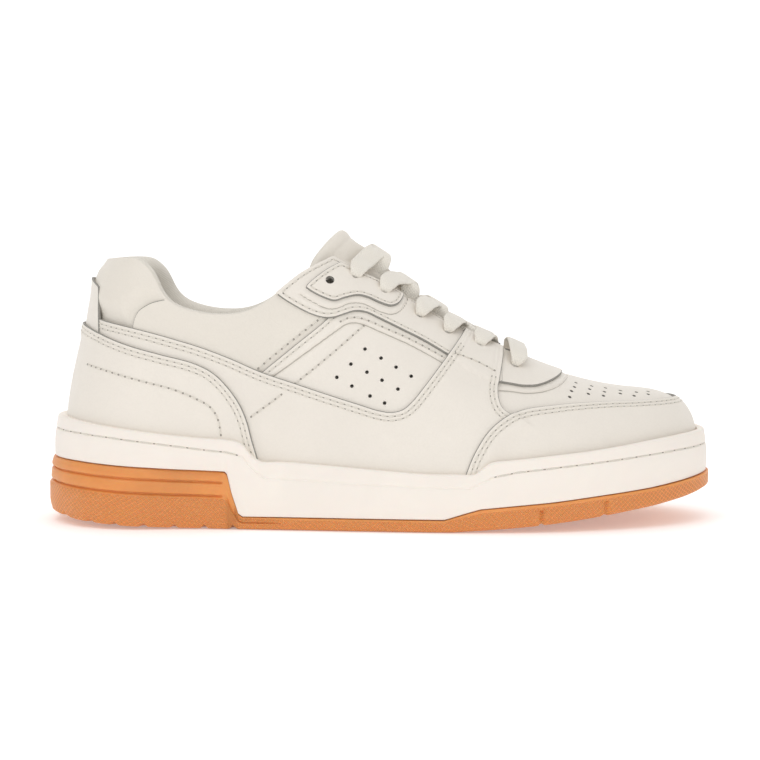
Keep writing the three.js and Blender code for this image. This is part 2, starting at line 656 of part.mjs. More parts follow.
// ---------------------------------------------------------------- materials and nodes
const finish = {
  leather: { color: "#e9e4da", roughness: 0.5, metalness: 0 },
  wall: { color: "#f4ebde", roughness: 0.6, metalness: 0 },
  gum: { color: "#d98a4b", roughness: 0.55, metalness: 0 },
  foam: { color: "#f0efe9", roughness: 0.9, metalness: 0 },
  textile: { color: "#ddd9d0", roughness: 0.95, metalness: 0 },
  board: { color: "#cfc6b4", roughness: 0.9, metalness: 0 },
  lace: { color: "#ece8dd", roughness: 0.9, metalness: 0 },
};
const shoe = new THREE.Group();
shoe.name = "court_shoe";
function addNode(name, solid, look) {
  const mesh = new THREE.Mesh(geometryFrom(largestBody(solid)), new THREE.MeshStandardMaterial(finish[look]));
  mesh.name = name;
  shoe.add(mesh);
}

// Sole unit, from the ground up.
addNode("outsole", outsole(), "gum");
addNode("cupsole", cupsole(), "wall");
addNode("midsole_foam", soleLayer(-1.8, above(groundLevel, 6.2), above(footBed, -2)), "foam");
addNode("strobel_board", soleLayer(-1.9, above(footBed, -1.7), above(footBed, -0.6)), "board");
addNode("sockliner", soleLayer(-6.4, above(footBed, 0.6), above(footBed, 4.6)), "textile");

// Panels that cross the centre line.
const toeField = panelField(TOE_OVERLAY);
const throatField = panelField(THROAT_OVERLAY);
const eyestayField = within(panelField(EYESTAY), (p) => p.z - 40);
const vampField = within(fields.upper, panelField(VAMP), fields.throat, beyond(throatField));
addNode("vamp", shell(vampField, LAYER.base), "leather");
addNode("toe_overlay", shell(within(fields.upper, toeField), LAYER.overlay), "leather");
const throatPanel = within(fields.upper, throatField, fields.throat, beyond(toeField));
addNode("throat_overlay", punch(shell(throatPanel, LAYER.eyestay)), "leather");
addNode("heel_overlay", shell(within(fields.upper, panelField(HEEL_OVERLAY)), LAYER.top), "leather");
const collarField = panelField(COLLAR_PANEL);
const heelField = within(fields.upper, panelField(HEEL_PANEL), beyond(collarField));
addNode("heel_panel", trimmed(heelField, LAYER.base), "leather");
addNode("back_tab", shell(fields.backTab, LAYER.overlay), "leather");
addNode("heel_counter", shell(within(fields.upper, panelField(HEEL_COUNTER)), LAYER.base), "board");
addNode("toe_puff", shell(within(fields.upper, panelField(TOE_PUFF)), LAYER.puff), "board");

// Panels made as a pair.
for (const side of ["lateral", "medial"]) {
  const half = (p) => fields[side](p) - GAP / 2;
  const place = (...list) => within(fields.upper, half, ...list);
  const quarterField = within(panelField(QUARTER), beyond(toeField), beyond(fields.backTab));
  const eyestay = place(eyestayField, fields.throat, beyond(throatField), beyond(panelField(VAMP)));
  const quarter = place(quarterField, fields.throat, beyond(throatField), beyond(eyestayField, 0.6));
  addNode(side + "_quarter", shell(quarter, LAYER.overlay), "leather");
  addNode(side + "_eyestay", punch(trimmed(eyestay, LAYER.eyestay)), "leather");
  const patch = shell(place((p) => p.z - 70, (p) => fields.throat(p) - 1.5), LAYER.top);
  addNode(side + "_eyelet_overlay", punch(patch.intersect(prism(EYELET_OVERLAY))), "leather");
  const panel = place(panelField(SIDE_PANEL), beyond(eyestayField), beyond(panelField(VAMP)));
  addNode(side + "_side_panel", shell(panel, LAYER.base), "leather");
  const collar = place(collarField, beyond(eyestayField));
  addNode(side + "_collar_panel", trimmed(collar, LAYER.base), "leather");
}

// Inside of the upper.
const liningShell = [(p) => -liningDepth(p) - LINING.thickness, (p) => -liningDepth(p)];
const rearLining = panelField(LINING_SEAM);
addNode("collar_lining", trimmed(within(liningField, rearLining), liningShell, 0.5), "textile");
addNode("vamp_lining", shell(within(liningField, beyond(rearLining)), liningShell), "textile");
const paddingField = within(
  (p) => Math.min(125 - p.z, 22 * (collarBump(p) - 0.2)),
  beyond(panelField(HEEL_COUNTER)),
  beyond(eyestayField, 1),
);
addNode("collar_padding", trimmed(paddingField, [(p) => GAP - liningDepth(p), -1.9], 2), "foam");
addNode("tongue", tongueSheet(0.4, 4.6), "leather");
addNode("tongue_lining", tongueSheet(4.9, 5.7), "textile");
addNode("lace", lace(), "lace");

export default shoe;
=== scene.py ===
"""Looks of the court shoe: leather panels, padding, laces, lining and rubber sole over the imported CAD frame.

Lengths are in millimetres until a mesh is made, where they become metres. +X is the toe, +Z is up and the
lateral side faces -Y, as in the frame.
"""
import math

import bpy
import numpy as np
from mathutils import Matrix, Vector
from mathutils.kdtree import KDTree


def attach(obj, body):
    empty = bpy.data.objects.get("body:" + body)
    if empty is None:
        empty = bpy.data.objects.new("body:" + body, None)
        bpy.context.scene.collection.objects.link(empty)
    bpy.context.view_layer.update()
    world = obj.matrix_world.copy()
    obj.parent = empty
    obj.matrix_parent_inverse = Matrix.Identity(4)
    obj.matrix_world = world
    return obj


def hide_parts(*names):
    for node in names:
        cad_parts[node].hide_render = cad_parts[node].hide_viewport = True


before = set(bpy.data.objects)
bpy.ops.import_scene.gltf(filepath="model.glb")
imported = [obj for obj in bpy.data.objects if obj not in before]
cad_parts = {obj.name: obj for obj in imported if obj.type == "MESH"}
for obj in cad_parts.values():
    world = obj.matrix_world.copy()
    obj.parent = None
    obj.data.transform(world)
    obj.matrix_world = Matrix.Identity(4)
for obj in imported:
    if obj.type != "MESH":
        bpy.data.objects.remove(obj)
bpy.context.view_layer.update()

# ---------------------------------------------------------------- driving dimensions
MM = 0.001
SIDES = {"lateral": -1, "medial": 1}
HEEL_END, TOE_END = -126.0, 129.0
ROUND_FROM = {"heel": -92.0, "toe": 52.0, "instep": 100.0}
SECTION_POWER = 2.3
SPINE = (-88.0, 86.0)
COLUMNS = {"side": 150, "toe": 118, "heel": 96}
ROWS = 112
LEATHER = 1.1          # thickness of one panel
STITCH_PITCH = 2.9
STITCH_ROWS = (1.7, 3.3)
STITCH_GROOVE = 0.2
HOLE_RADIUS = 0.72     # ventilation holes
EYELET_RADIUS = 1.7
LINING_DEPTH = 3.4
EYELETS = [  # x and distance across of each row, from the ankle to the front
    (-20.3, 24), (-10.8, 18.4), (0.8, 17.8), (15.2, 18.8), (26.4, 19.4), (38.9, 19), (53.5, 21.5),
]
THROAT_END = 55.5
FAR = 40.0             # a distance beyond every field's reach
# The pads' cloth: size of its mesh, air pressure, stiffness, number of frames and most swell.
CLOTH = {"voxel": 2.6, "pressure": 60.0, "stiffness": 5, "frames": 20, "most": 2.2, "neighbours": 10}
# The lace's height over the leather, in an eyelet, under the leather and over the tongue, and its section.
LACE = {"over": 4.3, "through": -2.9, "under": -3.4, "cross": 1.6, "width": 8.0, "thick": 1.3}
LACE_BUNCHED = {"width": 2.6, "thick": 1.9}     # the same ribbon gathered up inside an eyelet
TONGUE_SKINS = {"outer": -1.0, "middle": -3.0, "inner": -5.3}
HEEL_NOTCHES = [-119.5, -110.6, -102.5, -92.7, -80.9, -69, -57.5]
FLEX_GROOVES = [62.3, 86.9]
WALL_STITCH_PITCH = 6.4
GROOVE = [(0.9, 0), (0.45, 0.12), (0.15, 0.85), (0, 1), (-0.15, 0.85), (-0.45, 0.12), (-0.9, 0)]
RIBS = [  # share of the heel block's height and depth of each ring down its two ribs
    (0.86, 0.9), (0.835, 1.1), (0.82, 2.0), (0.80, 2.1), (0.785, 1.3), (0.76, 0.9), (0.7, 0.75),
    (0.62, 0.6), (0.6, 0.75), (0.585, 1.7), (0.565, 1.8), (0.55, 0.9), (0.53, 0.45),
]
SOCKLINER_RIM = [(3, 4.9), (1.2, 5.5), (0.4, 5.9), (0, 5.6), (0, 1.2), (0.6, 0.7)]
DIAMOND = math.pi / 0.00135 / 1.41      # turn per metre across the knurl's diamonds
HIDDEN_PIECES = {  # nodes of the frame that stay as they are, and their look
    "midsole_foam": "foam", "strobel_board": "board", "heel_counter": "board", "toe_puff": "board",
}
FLOOR = {"half": 3000.0, "back": 900.0, "radius": 500.0, "height": 1400.0, "drop": 0.02}
CAMERA = {"place": (0, -0.850, 0.1177), "tilt": 4.15, "lens": 98.53, "sensor": 36}
WORLD_STRENGTH = 0.53
LIGHTS = {  # place, target, size and power of each area light, and its colour
    "key": ((-0.5, -0.9, 1.3), (0, 0, 0.05), (1.2, 1.2), 5.8, (1, 1, 1)),
    "overhead": ((0.1, 0.1, 1.6), (0, 0, 0), (2.0, 1.6), 5.2, (1, 1, 1)),
    "front": ((0.5, -1.6, 0.5), (0, 0, 0.05), (1.6, 1.0), 3.7, (1, 0.985, 0.96)),
}


# ---------------------------------------------------------------- curves
def spline(points, step=0.1):
    """Natural cubic spline through (x, value) points, flat beyond its ends, as a function of x."""
    x, y = np.array(points, float).T
    n = len(x)
    h = np.diff(x)
    matrix, right = np.eye(n), np.zeros(n)
    for i in range(1, n - 1):
        matrix[i, i - 1 : i + 2] = h[i - 1], 2 * (h[i - 1] + h[i]), h[i]
        right[i] = 6 * ((y[i + 1] - y[i]) / h[i] - (y[i] - y[i - 1]) / h[i - 1])
    bend = np.linalg.solve(matrix, right)
    q = np.arange(x[0], x[-1] + step / 2, step)
    i = np.clip(np.searchsorted(x, q, side="right") - 1, 0, n - 2)
    a = (x[i + 1] - q) / h[i]
    b = (q - x[i]) / h[i]
    table = a * y[i] + b * y[i + 1] + ((a**3 - a) * bend[i] + (b**3 - b) * bend[i + 1]) * h[i] ** 2 / 6
    return lambda at: np.interp(at, q, table)


def levels(points):
    """Straight lines between (x, value) points, as a function of x."""
    x, y = np.array(points, float).T
    return lambda at: np.interp(at, x, y)


def smooth(t):
    """A soft step from 0 to 1 as t goes from 0 to 1."""
    c = np.clip(t, 0, 1)
    return c * c * (3 - 2 * c)


def bump(distance, width):
    """A bell of height 1."""
    return np.exp(-((np.asarray(distance) / width) ** 2))


def end_round(x, start, end, power):
    """1 up to start, then rounded down to 0 at end."""
    t = np.clip((x - start) / (end - start), 0, 1)
    return np.maximum(1 - t**power, 0) ** (1 / power)


def gaps(points, axis=0):
    """Distance from each point to the next along an axis of an array of points."""
    return np.linalg.norm(np.diff(points, axis=axis), axis=-1)


def flow(points, step=1.0):
    """Centripetal Catmull-Rom curve through points of any dimension, sampled about every step."""
    p = np.array(points, float)
    if len(p) < 3:
        return p
    p = np.vstack([2 * p[0] - p[1], p, 2 * p[-1] - p[-2]])
    out = []
    root = np.maximum(gaps(p), 1e-6) ** 0.5
    for i in range(1, len(p) - 2):
        knots = np.cumsum([0, *root[i - 1 : i + 2]])
        count = max(2, int(np.ceil(np.linalg.norm(p[i + 1] - p[i]) / step)))
        t = knots[1] + (knots[2] - knots[1]) * np.arange(count)[:, None] / count
        between = lambda a, b, m, n: ((knots[n] - t) * a + (t - knots[m]) * b) / (knots[n] - knots[m])
        a = [between(p[i - 1 + j], p[i + j], j, j + 1) for j in range(3)]
        b = [between(a[j], a[j + 1], j, j + 2) for j in range(2)]
        out.append(between(b[0], b[1], 1, 2))
    out.append(p[-2:-1])
    return np.vstack(out)


def outline(*runs):
    """Closed outline from runs of points: each run is a smooth curve, with a corner between runs."""
    return np.vstack([flow(run) for run in runs])


def unit(v):
    """Vectors scaled to length 1."""
    return v / np.maximum(np.linalg.norm(v, axis=-1, keepdims=True), 1e-12)


def run_lengths(points, axis=0):
    """Distance from the first point to every point along an axis of an array of points."""
    steps = np.cumsum(gaps(points, axis), axis=axis)
    return np.concatenate([np.zeros_like(steps.take([0], axis)), steps], axis=axis)


def half_turn(count):
    """Angles from 0, evenly apart, that stop one step short of half a turn."""
    return np.pi * np.arange(count) / count


def grid_quads(rows, columns, wrap=False):
    """Corner numbers of the quads of a grid of points, closed round its columns with wrap."""
    row, column = np.meshgrid(np.arange(rows - 1), np.arange(columns if wrap else columns - 1), indexing="ij")
    a = row * columns + column
    b = row * columns + (column + 1) % columns
    return np.stack([a, b, b + columns, a + columns], -1).reshape(-1, 4)


# ---------------------------------------------------------------- the last
lateral_half = spline(
    [(-129, 31), (-95, 33.5), (-60, 34.5), (-25, 38.5), (10, 43), (40, 45.5), (70, 45), (100, 42), (130, 38)]
)
medial_half = spline(
    [(-129, 31), (-95, 33.5), (-60, 33), (-25, 33), (10, 37), (40, 42.5), (70, 45), (100, 43), (130, 38)]
)
centre_line = spline([(-130, -0.5), (-40, -0.8), (20, -0.6), (70, 0.8), (130, 3.5)])
foot_bed = spline([(-130, 25), (-90, 24), (-50, 20), (0, 16), (45, 14), (85, 17), (130, 24)])
instep = spline(
    [
        (-130, 160), (-100, 156), (-75, 143), (-52, 128), (-35, 119.5), (-20, 111), (-10, 104), (0, 97.5),
        (20, 84.5), (40, 73.5), (60, 64.5), (80, 57.5), (100, 53.5), (117, 52.5), (130, 52),
    ]
)
heel_lean = spline([(20, 0), (42, 0.9), (60, 3.8), (79, 8.2), (94, 11.6), (106, 17), (120, 22)])


def section(x, z):
    """Station, middle, low, high, lateral and medial half width of the last's section through (x, z)."""
    station = x - heel_lean(z) * (1 - smooth((x + 125) / 75))
    ends = end_round(station, ROUND_FROM["heel"], HEEL_END, 2.15)
    ends = ends * end_round(station, ROUND_FROM["toe"], TOE_END, 2.4)
    low = foot_bed(station)
    high = low + (instep(station) - low) * end_round(station, ROUND_FROM["instep"], TOE_END, 3.2)
    return station, centre_line(station), low, high, lateral_half(station) * ends, medial_half(station) * ends


def outside(p):
    """Negative inside the last, positive outside."""
    station, middle, low, high, lateral, medial = section(p[..., 0], p[..., 2])
    half = np.where(p[..., 1] < middle, lateral, medial)
    rise = np.maximum((p[..., 2] - low) / np.maximum(high - low, 1e-6), 0)
    level = (np.abs(p[..., 1] - middle) / np.maximum(half, 1e-6)) ** SECTION_POWER + rise**SECTION_POWER - 1
    return np.where((station <= HEEL_END) | (station >= TOE_END), 10.0, level)


def normals(p):
    """Outward directions of the last's surface."""
    h = 0.3
    slopes = [outside(p + h * np.eye(3)[k]) - outside(p - h * np.eye(3)[k]) for k in range(3)]
    return unit(np.clip(np.stack(slopes, -1), -1, 1))


def cast(origin, direction, reach=220.0):
    """Where rays from inside leave the last."""
    near, far = np.zeros(len(origin)), np.full(len(origin), reach)
    for _ in range(34):
        half = (near + far) / 2
        within = outside(origin + direction * half[:, None]) < 0
        near, far = np.where(within, half, near), np.where(within, far, half)
    return origin + direction * near[:, None]


def side_point(x, z, side):
    """Points of the last's side over (x, z)."""
    x, z = np.asarray(x, float), np.asarray(z, float)
    _, middle, low, high, lateral, medial = section(x, z)
    rise = np.clip((z - low) / (high - low), 0, 1)
    half = lateral if side < 0 else medial
    return np.stack([x, middle + side * half * (1 - rise**SECTION_POWER) ** (1 / SECTION_POWER), z], -1)


def top_point(x, across, side):
    """Points of the last's top over (x, across), across measured from the centre line."""
    x, across = np.asarray(x, float), np.asarray(across, float)
    _, middle, low, high, lateral, medial = section(x, np.full_like(x, 60.0))
    half = lateral if side < 0 else medial
    rise = np.maximum(1 - (across / half) ** SECTION_POWER, 0) ** (1 / SECTION_POWER)
    return np.stack([x, middle + side * across, low + (high - low) * rise], -1)


# ---------------------------------------------------------------- patches of the last's surface
class Patch:
    """Triangles, and values at their corners: places, normals and distances."""

    def __init__(self, tri, values):
        self.tri = tri
        self.values = values

    def __getattr__(self, name):
        if name in ("tri", "values") or name not in self.values:
            raise AttributeError(name)
        return self.values[name]

    def pick(self, keep):
        """The chosen triangles only."""
        tri = self.tri[keep]
        used, packed = np.unique(tri, return_inverse=True)
        return Patch(packed.reshape(-1, 3), {k: v[used] for k, v in self.values.items()})

    def near(self, distance, reach):
        """The triangles with a corner where distance is over -reach."""
        return self.pick((distance[self.tri] > -reach).any(1))

    def with_points(self, a, b, t):
        """The values, with new corners a share t of the way from corners a to corners b."""
        out = {}
        for k, v in self.values.items():
            share = t if v.ndim == 1 else t[:, None]
            out[k] = np.concatenate([v, v[a] + (v[b] - v[a]) * share])
        return out

    def split(self, value):
        """Cuts every triangle that the line value = 0 crosses."""
        values = dict(self.values)
        value = np.where(np.abs(value) < 1e-4, 0, value)
        sign = np.sign(value).astype(int)[self.tri]
        crossed = (sign.max(1) > 0) & (sign.min(1) < 0)
        tri, cut, sign = self.tri[~crossed], self.tri[crossed], sign[crossed]
        total = sign.sum(1)
        first = np.where(total == 0, (sign == 0).argmax(1), (sign == -total[:, None]).argmax(1))
        cut = np.take_along_axis(cut, (first[:, None] + [0, 1, 2]) % 3, 1)
        zero, lone = cut[total == 0], cut[total != 0]
        edges = np.sort(np.concatenate([zero[:, 1:], lone[:, :2], lone[:, ::2]]), axis=1)
        unique, index = np.unique(edges, axis=0, return_inverse=True)
        index = index.reshape(-1) + len(value)
        t = value[unique[:, 0]] / (value[unique[:, 0]] - value[unique[:, 1]])
        values = self.with_points(unique[:, 0], unique[:, 1], t)
        m, (p, q) = index[: len(zero)], np.split(index[len(zero) :], 2)
        parts = [
            tri,
            np.stack([zero[:, 0], zero[:, 1], m], 1),
            np.stack([zero[:, 0], m, zero[:, 2]], 1),
            np.stack([lone[:, 0], p, q], 1),
            np.stack([p, lone[:, 1], lone[:, 2]], 1),
            np.stack([p, lone[:, 2], q], 1),
        ]
        value = np.concatenate([value, np.zeros(len(unique))])
        return Patch(np.concatenate(parts), values), value

    def clip(self, value):
        """Keeps what lies where value is positive."""
        patch, value = self.split(value)
        return patch.pick(value[patch.tri].sum(1) > 0)

    def refine(self, chosen):
        """Halves every edge of the chosen triangles, and cuts their neighbours to match."""
        tri = self.tri
        edges = np.sort(np.stack([tri[:, [0, 1]], tri[:, [1, 2]], tri[:, [2, 0]]], 1), axis=2)
        code = edges[..., 0] * np.int64(len(self.co)) + edges[..., 1]
        marked = np.unique(code[chosen])
        halved = np.isin(code, marked)
        middle = len(self.co) + np.searchsorted(marked, code)
        a, b = marked // len(self.co), marked % len(self.co)
        values = self.with_points(a, b, np.full(len(marked), 0.5))
        count = halved.sum(1)
        parts = [tri[count == 0]]
        for n in (1, 2, 3):
            group, mid, flags = tri[count == n], middle[count == n], halved[count == n]
            first = np.zeros(len(group), int) if n == 3 else (flags == (n == 1)).argmax(1)
            turn = (first[:, None] + [0, 1, 2]) % 3
            a, b, c = np.take_along_axis(group, turn, 1).T
            ab, bc, ca = np.take_along_axis(mid, turn, 1).T
            if n == 1:
                parts += [np.stack([a, ab, c], 1), np.stack([ab, b, c], 1)]
            elif n == 2:
                parts += [np.stack([a, b, bc], 1), np.stack([a, bc, ca], 1), np.stack([ca, bc, c], 1)]
            else:
                parts += [np.stack(s, 1) for s in ((a, ab, ca), (ab, b, bc), (ca, bc, c), (ab, bc, ca))]
        return Patch(np.concatenate(parts), values)

    def rim(self):
        """Directed edges that belong to one triangle only."""
        edges = np.concatenate([self.tri[:, [0, 1]], self.tri[:, [1, 2]], self.tri[:, [2, 0]]])
        code = edges[:, 0] * np.int64(len(self.co)) + edges[:, 1]
        back = edges[:, 1] * np.int64(len(self.co)) + edges[:, 0]
        return edges[~np.isin(code, back)]

    def chains(self, value):
        """The lines value = 0 as runs of points, each a dictionary of values along the line."""
        value = np.where(np.abs(value) < 1e-6, 1e-6, value)
        positive = value[self.tri] > 0
        tri = self.tri[positive.any(1) & ~positive.all(1)]
        links = {}
        for corners in tri.tolist():
            ends = []
            for a, b in ((0, 1), (1, 2), (2, 0)):
                a, b = sorted((corners[a], corners[b]))
                if (value[a] > 0) != (value[b] > 0):
                    ends.append((a, b))
            links.setdefault(ends[0], []).append(ends[1])
            links.setdefault(ends[1], []).append(ends[0])
        runs = []
        open_ends = [e for e, others in links.items() if len(others) == 1]
        for start in open_ends + list(links):
            if start not in links:
                continue
            run, here = [start], start
            while True:
                others = [e for e in links.pop(here) if e in links]
                if not others:
                    break
                here = others[0]
                run.append(here)
            if len(run) > 3:
                e = np.array(run)
                t = value[e[:, 0]] / (value[e[:, 0]] - value[e[:, 1]])
                runs.append({k: v[e[:, 0]] + (v[e[:, 1]] - v[e[:, 0]]) * (t if v.ndim == 1 else t[:, None])
                             for k, v in self.values.items()})
        return runs


base_tree = None


def points_on(co):
    """Points of the last's surface with what the fields and heights need."""
    co = np.atleast_2d(co)
    station = section(co[:, 0], co[:, 2])[0]
    n = normals(co)
    if base_tree is not None:
        nearest = [[index for _, index, _ in base_tree.find_n(point, 4)] for point in co]
        n = near_ends(co, n, base.n[np.array(nearest)].mean(1))
    return Patch(np.zeros((0, 3), int), {"co": co, "n": n, "across": co[:, 1] - centre_line(station)})


def last_patch():
    """The last's surface: columns of points that fan out from the spine."""
    heel, toe = SPINE
    xs = np.linspace(heel, toe, COLUMNS["side"], endpoint=False)
    turns = -np.pi / 2 + half_turn(COLUMNS["toe"])
    returns = np.linspace(toe, heel, COLUMNS["side"], endpoint=False)
    backs = np.pi / 2 + half_turn(COLUMNS["heel"])
    x = np.concatenate([xs, np.full(len(turns), toe), returns, np.full(len(backs), heel)])
    angle = np.concatenate([np.full(len(xs), -np.pi / 2), turns, np.full(len(returns), np.pi / 2), backs])
    origin = np.stack([x, centre_line(x), foot_bed(x)], 1)
    level = np.stack([np.cos(angle), np.sin(angle), np.zeros_like(angle)], 1)
    rise = np.linspace(0, np.pi / 2, 90)

    def shoot(elevation):
        """Elevation is one row per column."""
        direction = level[:, None] * np.cos(elevation)[..., None]
        direction[..., 2] += np.sin(elevation)
        start = np.repeat(origin[:, None], elevation.shape[1], 1)
        return cast(start.reshape(-1, 3), direction.reshape(-1, 3)).reshape(*elevation.shape, 3)

    rough = shoot(np.tile(rise, (len(x), 1)))
    share = np.linspace(0, 1, ROWS)
    even = np.stack([np.interp(share * run[-1], run, rise) for run in run_lengths(rough, 1)])
    co = shoot(even).reshape(-1, 3)
    quads = grid_quads(len(x) + 1, ROWS)[:, [0, 3, 2, 1]] % len(co)
    diagonals = [np.linalg.norm(co[quads[:, k]] - co[quads[:, k + 2]], axis=1) for k in (0, 1)]
    flip = diagonals[0] > diagonals[1]
    quads = np.where(flip[:, None], quads[:, [1, 2, 3, 0]], quads)
    tri = np.concatenate([quads[:, [0, 1, 2]], quads[:, [0, 2, 3]]])
    _, first, same = np.unique(np.round(co, 3), axis=0, return_index=True, return_inverse=True)
    tri = same.reshape(-1)[tri]
    tri = tri[(tri[:, 0] != tri[:, 1]) & (tri[:, 1] != tri[:, 2]) & (tri[:, 2] != tri[:, 0])]
    patch = points_on(co[first])
    patch.tri = tri
    corner = patch.co[tri]
    facing = np.cross(corner[:, 1] - corner[:, 0], corner[:, 2] - corner[:, 0])
    measured = np.zeros_like(patch.co)
    np.add.at(measured, tri.ravel(), np.repeat(facing, 3, 0))
    patch.values["n"] = near_ends(patch.co, patch.n, measured)
    return patch


def near_ends(co, n, measured):
    """Normals that turn into measured ones at the heel and toe, where the section's formula is too steep."""
    x = co[:, 0]
    share = np.maximum(smooth((-96 - x) / 8), smooth((x - 112) / 8))[:, None]
    return unit((1 - share) * n + share * unit(measured))


# ---------------------------------------------------------------- distances along the surface
def view_axes(view, across):
    """The two directions of a drawing view at each point: from the side, the top, or slanting between."""
    side = np.where(across < 0, -1.0, 1.0)
    zero = np.zeros_like(side)
    first = np.stack([zero + 1, zero, zero], -1)
    second = {
        "side": np.stack([zero, zero, zero + 1], -1),
        "top": np.stack([zero, side, zero], -1),
        "slant": np.stack([zero, -side, zero + 1], -1) / math.sqrt(2),
    }[view]
    return first, second


def drawn(view, p):
    """Drawing coordinates of points: x, and z or the distance across or a mix of both."""
    across = np.abs(p.across)
    other = {"side": p.co[:, 2], "top": across, "slant": (p.co[:, 2] - across) / math.sqrt(2)}[view]
    return np.stack([p.co[:, 0], other], 1)


def drawn_distance(p, line, view, closed, reach=9.0):
    """Distance along the surface to a line drawn in a view. Signed, positive inside, for a closed outline."""
    q = drawn(view, p)
    ends = np.vstack([line, line[:1]]) if closed else line
    a, step = ends[:-1], np.diff(ends, axis=0)
    good = (step**2).sum(1) > 1e-9
    a, step = a[good], step[good]
    size = (step**2).sum(1)
    nearest = np.full(len(q), 1e9)
    slope = np.zeros((len(q), 2))
    low, high = line.min(0) - reach, line.max(0) + reach
    close = np.flatnonzero(((q > low) & (q < high)).all(1))
    within = np.zeros(len(q), bool)
    for part in np.array_split(close, max(1, len(close) // 4000)):
        d = q[part][:, None] - a
        t = np.clip((d * step).sum(2) / size, 0, 1)
        away = d - t[..., None] * step
        gap = (away**2).sum(2)
        best = gap.argmin(1)
        nearest[part] = np.sqrt(gap[np.arange(len(part)), best])
        slope[part] = np.stack([-step[best, 1], step[best, 0]], 1) / np.sqrt(size[best])[:, None]
        if closed:
            spans = (ends[None, :-1, 1][:, good] > q[part][:, 1:2]) != (
                (a + step)[None, :, 1] > q[part][:, 1:2]
            )
            with np.errstate(divide="ignore", invalid="ignore"):
                cross = a[:, 0] + step[:, 0] * (q[part][:, 1:2] - a[:, 1]) / step[:, 1]
            within[part] = (spans & (q[part][:, 0:1] < cross)).sum(1) % 2 == 1
    first, second = view_axes(view, p.across)
    gradient = first * slope[:, :1] + second * slope[:, 1:]
    along = np.sqrt(np.maximum((gradient**2).sum(1) - (gradient * p.n).sum(1) ** 2, 0.09))
    distance = np.minimum(nearest, 50) / along
    return np.where(within, distance, -distance) if closed else distance


def inside(line, view="side"):
    """Field of what lies inside a closed outline."""
    return lambda p: drawn_distance(p, line, view, True)


def off(line, view="side"):
    """Distance from an open line."""
    return lambda p: drawn_distance(p, line, view, False)


def both(*fields):
    """What lies inside all fields. A field is a distance, positive inside, as a function of a patch."""
    return lambda p: np.minimum.reduce([f(p) for f in fields])


def under(field, overlap=0.0):
    """What lies outside a field, and up to an overlap inside it."""
    return lambda p: overlap - field(p)


def ahead(x):
    return lambda p: p.co[:, 0] - x


def behind(x):
    return lambda p: x - p.co[:, 0]


# ---------------------------------------------------------------- panel outlines, the same on both sides
# "side" drawings are x and z, "slant" ones are x and (z - across) / sqrt 2, and "top" ones are x and across.
COLLAR_RUN = [
    (-116, 105.2), (-108, 106.2), (-103, 106.5), (-97, 106.1), (-94, 104.4), (-90.4, 101.2), (-88, 97.3),
    (-86, 93.4), (-84, 90.6), (-80.5, 87.9), (-72.5, 85.3), (-65, 84.3), (-56.8, 84.6), (-50.6, 86.4),
    (-44.3, 89.9), (-38.1, 95), (-31.9, 99.8), (-27, 102.6), (-20, 106),
]
COLLAR = outline([(-160, 105)], COLLAR_RUN, [(160, 118)], [(160, -30)], [(-160, -30)])
QUARTER_TOP = [
    (-121, 83.4), (-112.7, 82.4), (-109.4, 81.4), (-100.4, 79.5), (-91, 77.3), (-81.1, 74.5),
    (-70.9, 71.4), (-59.1, 67), (-46.4, 61.6), (-33, 57.2), (-22, 53.6), (-8.2, 49.3), (-1, 47.1),
    (4.5, 46.3), (9, 47.4), (12.6, 50.4), (17.6, 56.4), (24, 64.5), (29, 70.6), (35, 78),
]
FLAP_FRONT = [
    (51, 76), (49.4, 70), (48.2, 64.5), (47, 59.5), (46.2, 54.9), (46.4, 51), (48, 47.4), (53, 44.2),
]
QUARTER = outline(QUARTER_TOP, [(40, 90)], FLAP_FRONT, [(62, 38)], [(62, -30)], [(-160, -30)], [(-160, 84)])
HEEL_TOP = [
    (-130, 82), (-121, 80.6), (-112.5, 77.3), (-106.7, 74.8), (-97.8, 71.7), (-85.9, 68.4), (-73.7, 65.2),
    (-65.8, 61.4), (-59.9, 55.9), (-54.9, 49), (-52, 42.4), (-50, 35), (-47.6, 27), (-46, 20),
]
HEEL = outline([(-160, 82)], HEEL_TOP, [(-44, -30)], [(-160, -30)])
TOE_EDGE = [
    (29, -24), (33.5, -15.6), (36, -10.9), (41.4, -3.6), (47.3, 1.4), (55.4, 5.9), (67.8, 9.6),
    (80.2, 13.4), (91.9, 16.9), (104.5, 20.4), (112.5, 23.7), (118, 28), (120.6, 33), (121.2, 40),
]
TOE = outline(TOE_EDGE, [(122, 60)], [(160, 60)], [(160, -60)], [(26, -60)])
THROAT_OUTER = [
    (44.8, 32.8), (51, 31.8), (56.3, 30.9), (61.8, 28.7), (66.2, 25), (70, 19.6), (72.6, 13), (73.8, 6.2),
    (74.2, 0), (73.8, -6.2),
]
THROAT = outline(THROAT_OUTER, [(60, -12)], [(30, -12)], [(30, 24)], [(38, 33)])
EYESTAY_LOW = [
    (-43.5, 94.5), (-39.6, 91.1), (-35.2, 88.2), (-27.5, 84.2), (-22.5, 82.7), (-18.2, 82.7),
    (-14.2, 83.9), (-9.9, 85), (-5.5, 84.4), (-1.6, 82.6), (7.9, 77.9), (17, 73.3), (26.5, 67.7),
    (36, 62), (46, 57),
]
EYESTAY = outline(EYESTAY_LOW, [(60, 57)], [(60, 130)], [(-60, 130)], [(-60, 104)])
WINDOW_LEFT = [(-58, 51.6), (-46.4, 61.6), (-33.9, 71.8), (-20.9, 82.4), (-12, 92)]
WINDOW = outline(WINDOW_LEFT, [(50, 92)], [(50, 38)], [(-58, 38)])
WINDOW_LEFT_STITCH = [(-47.8, 63.1), (-35.3, 73.3), (-22.3, 83.5)]
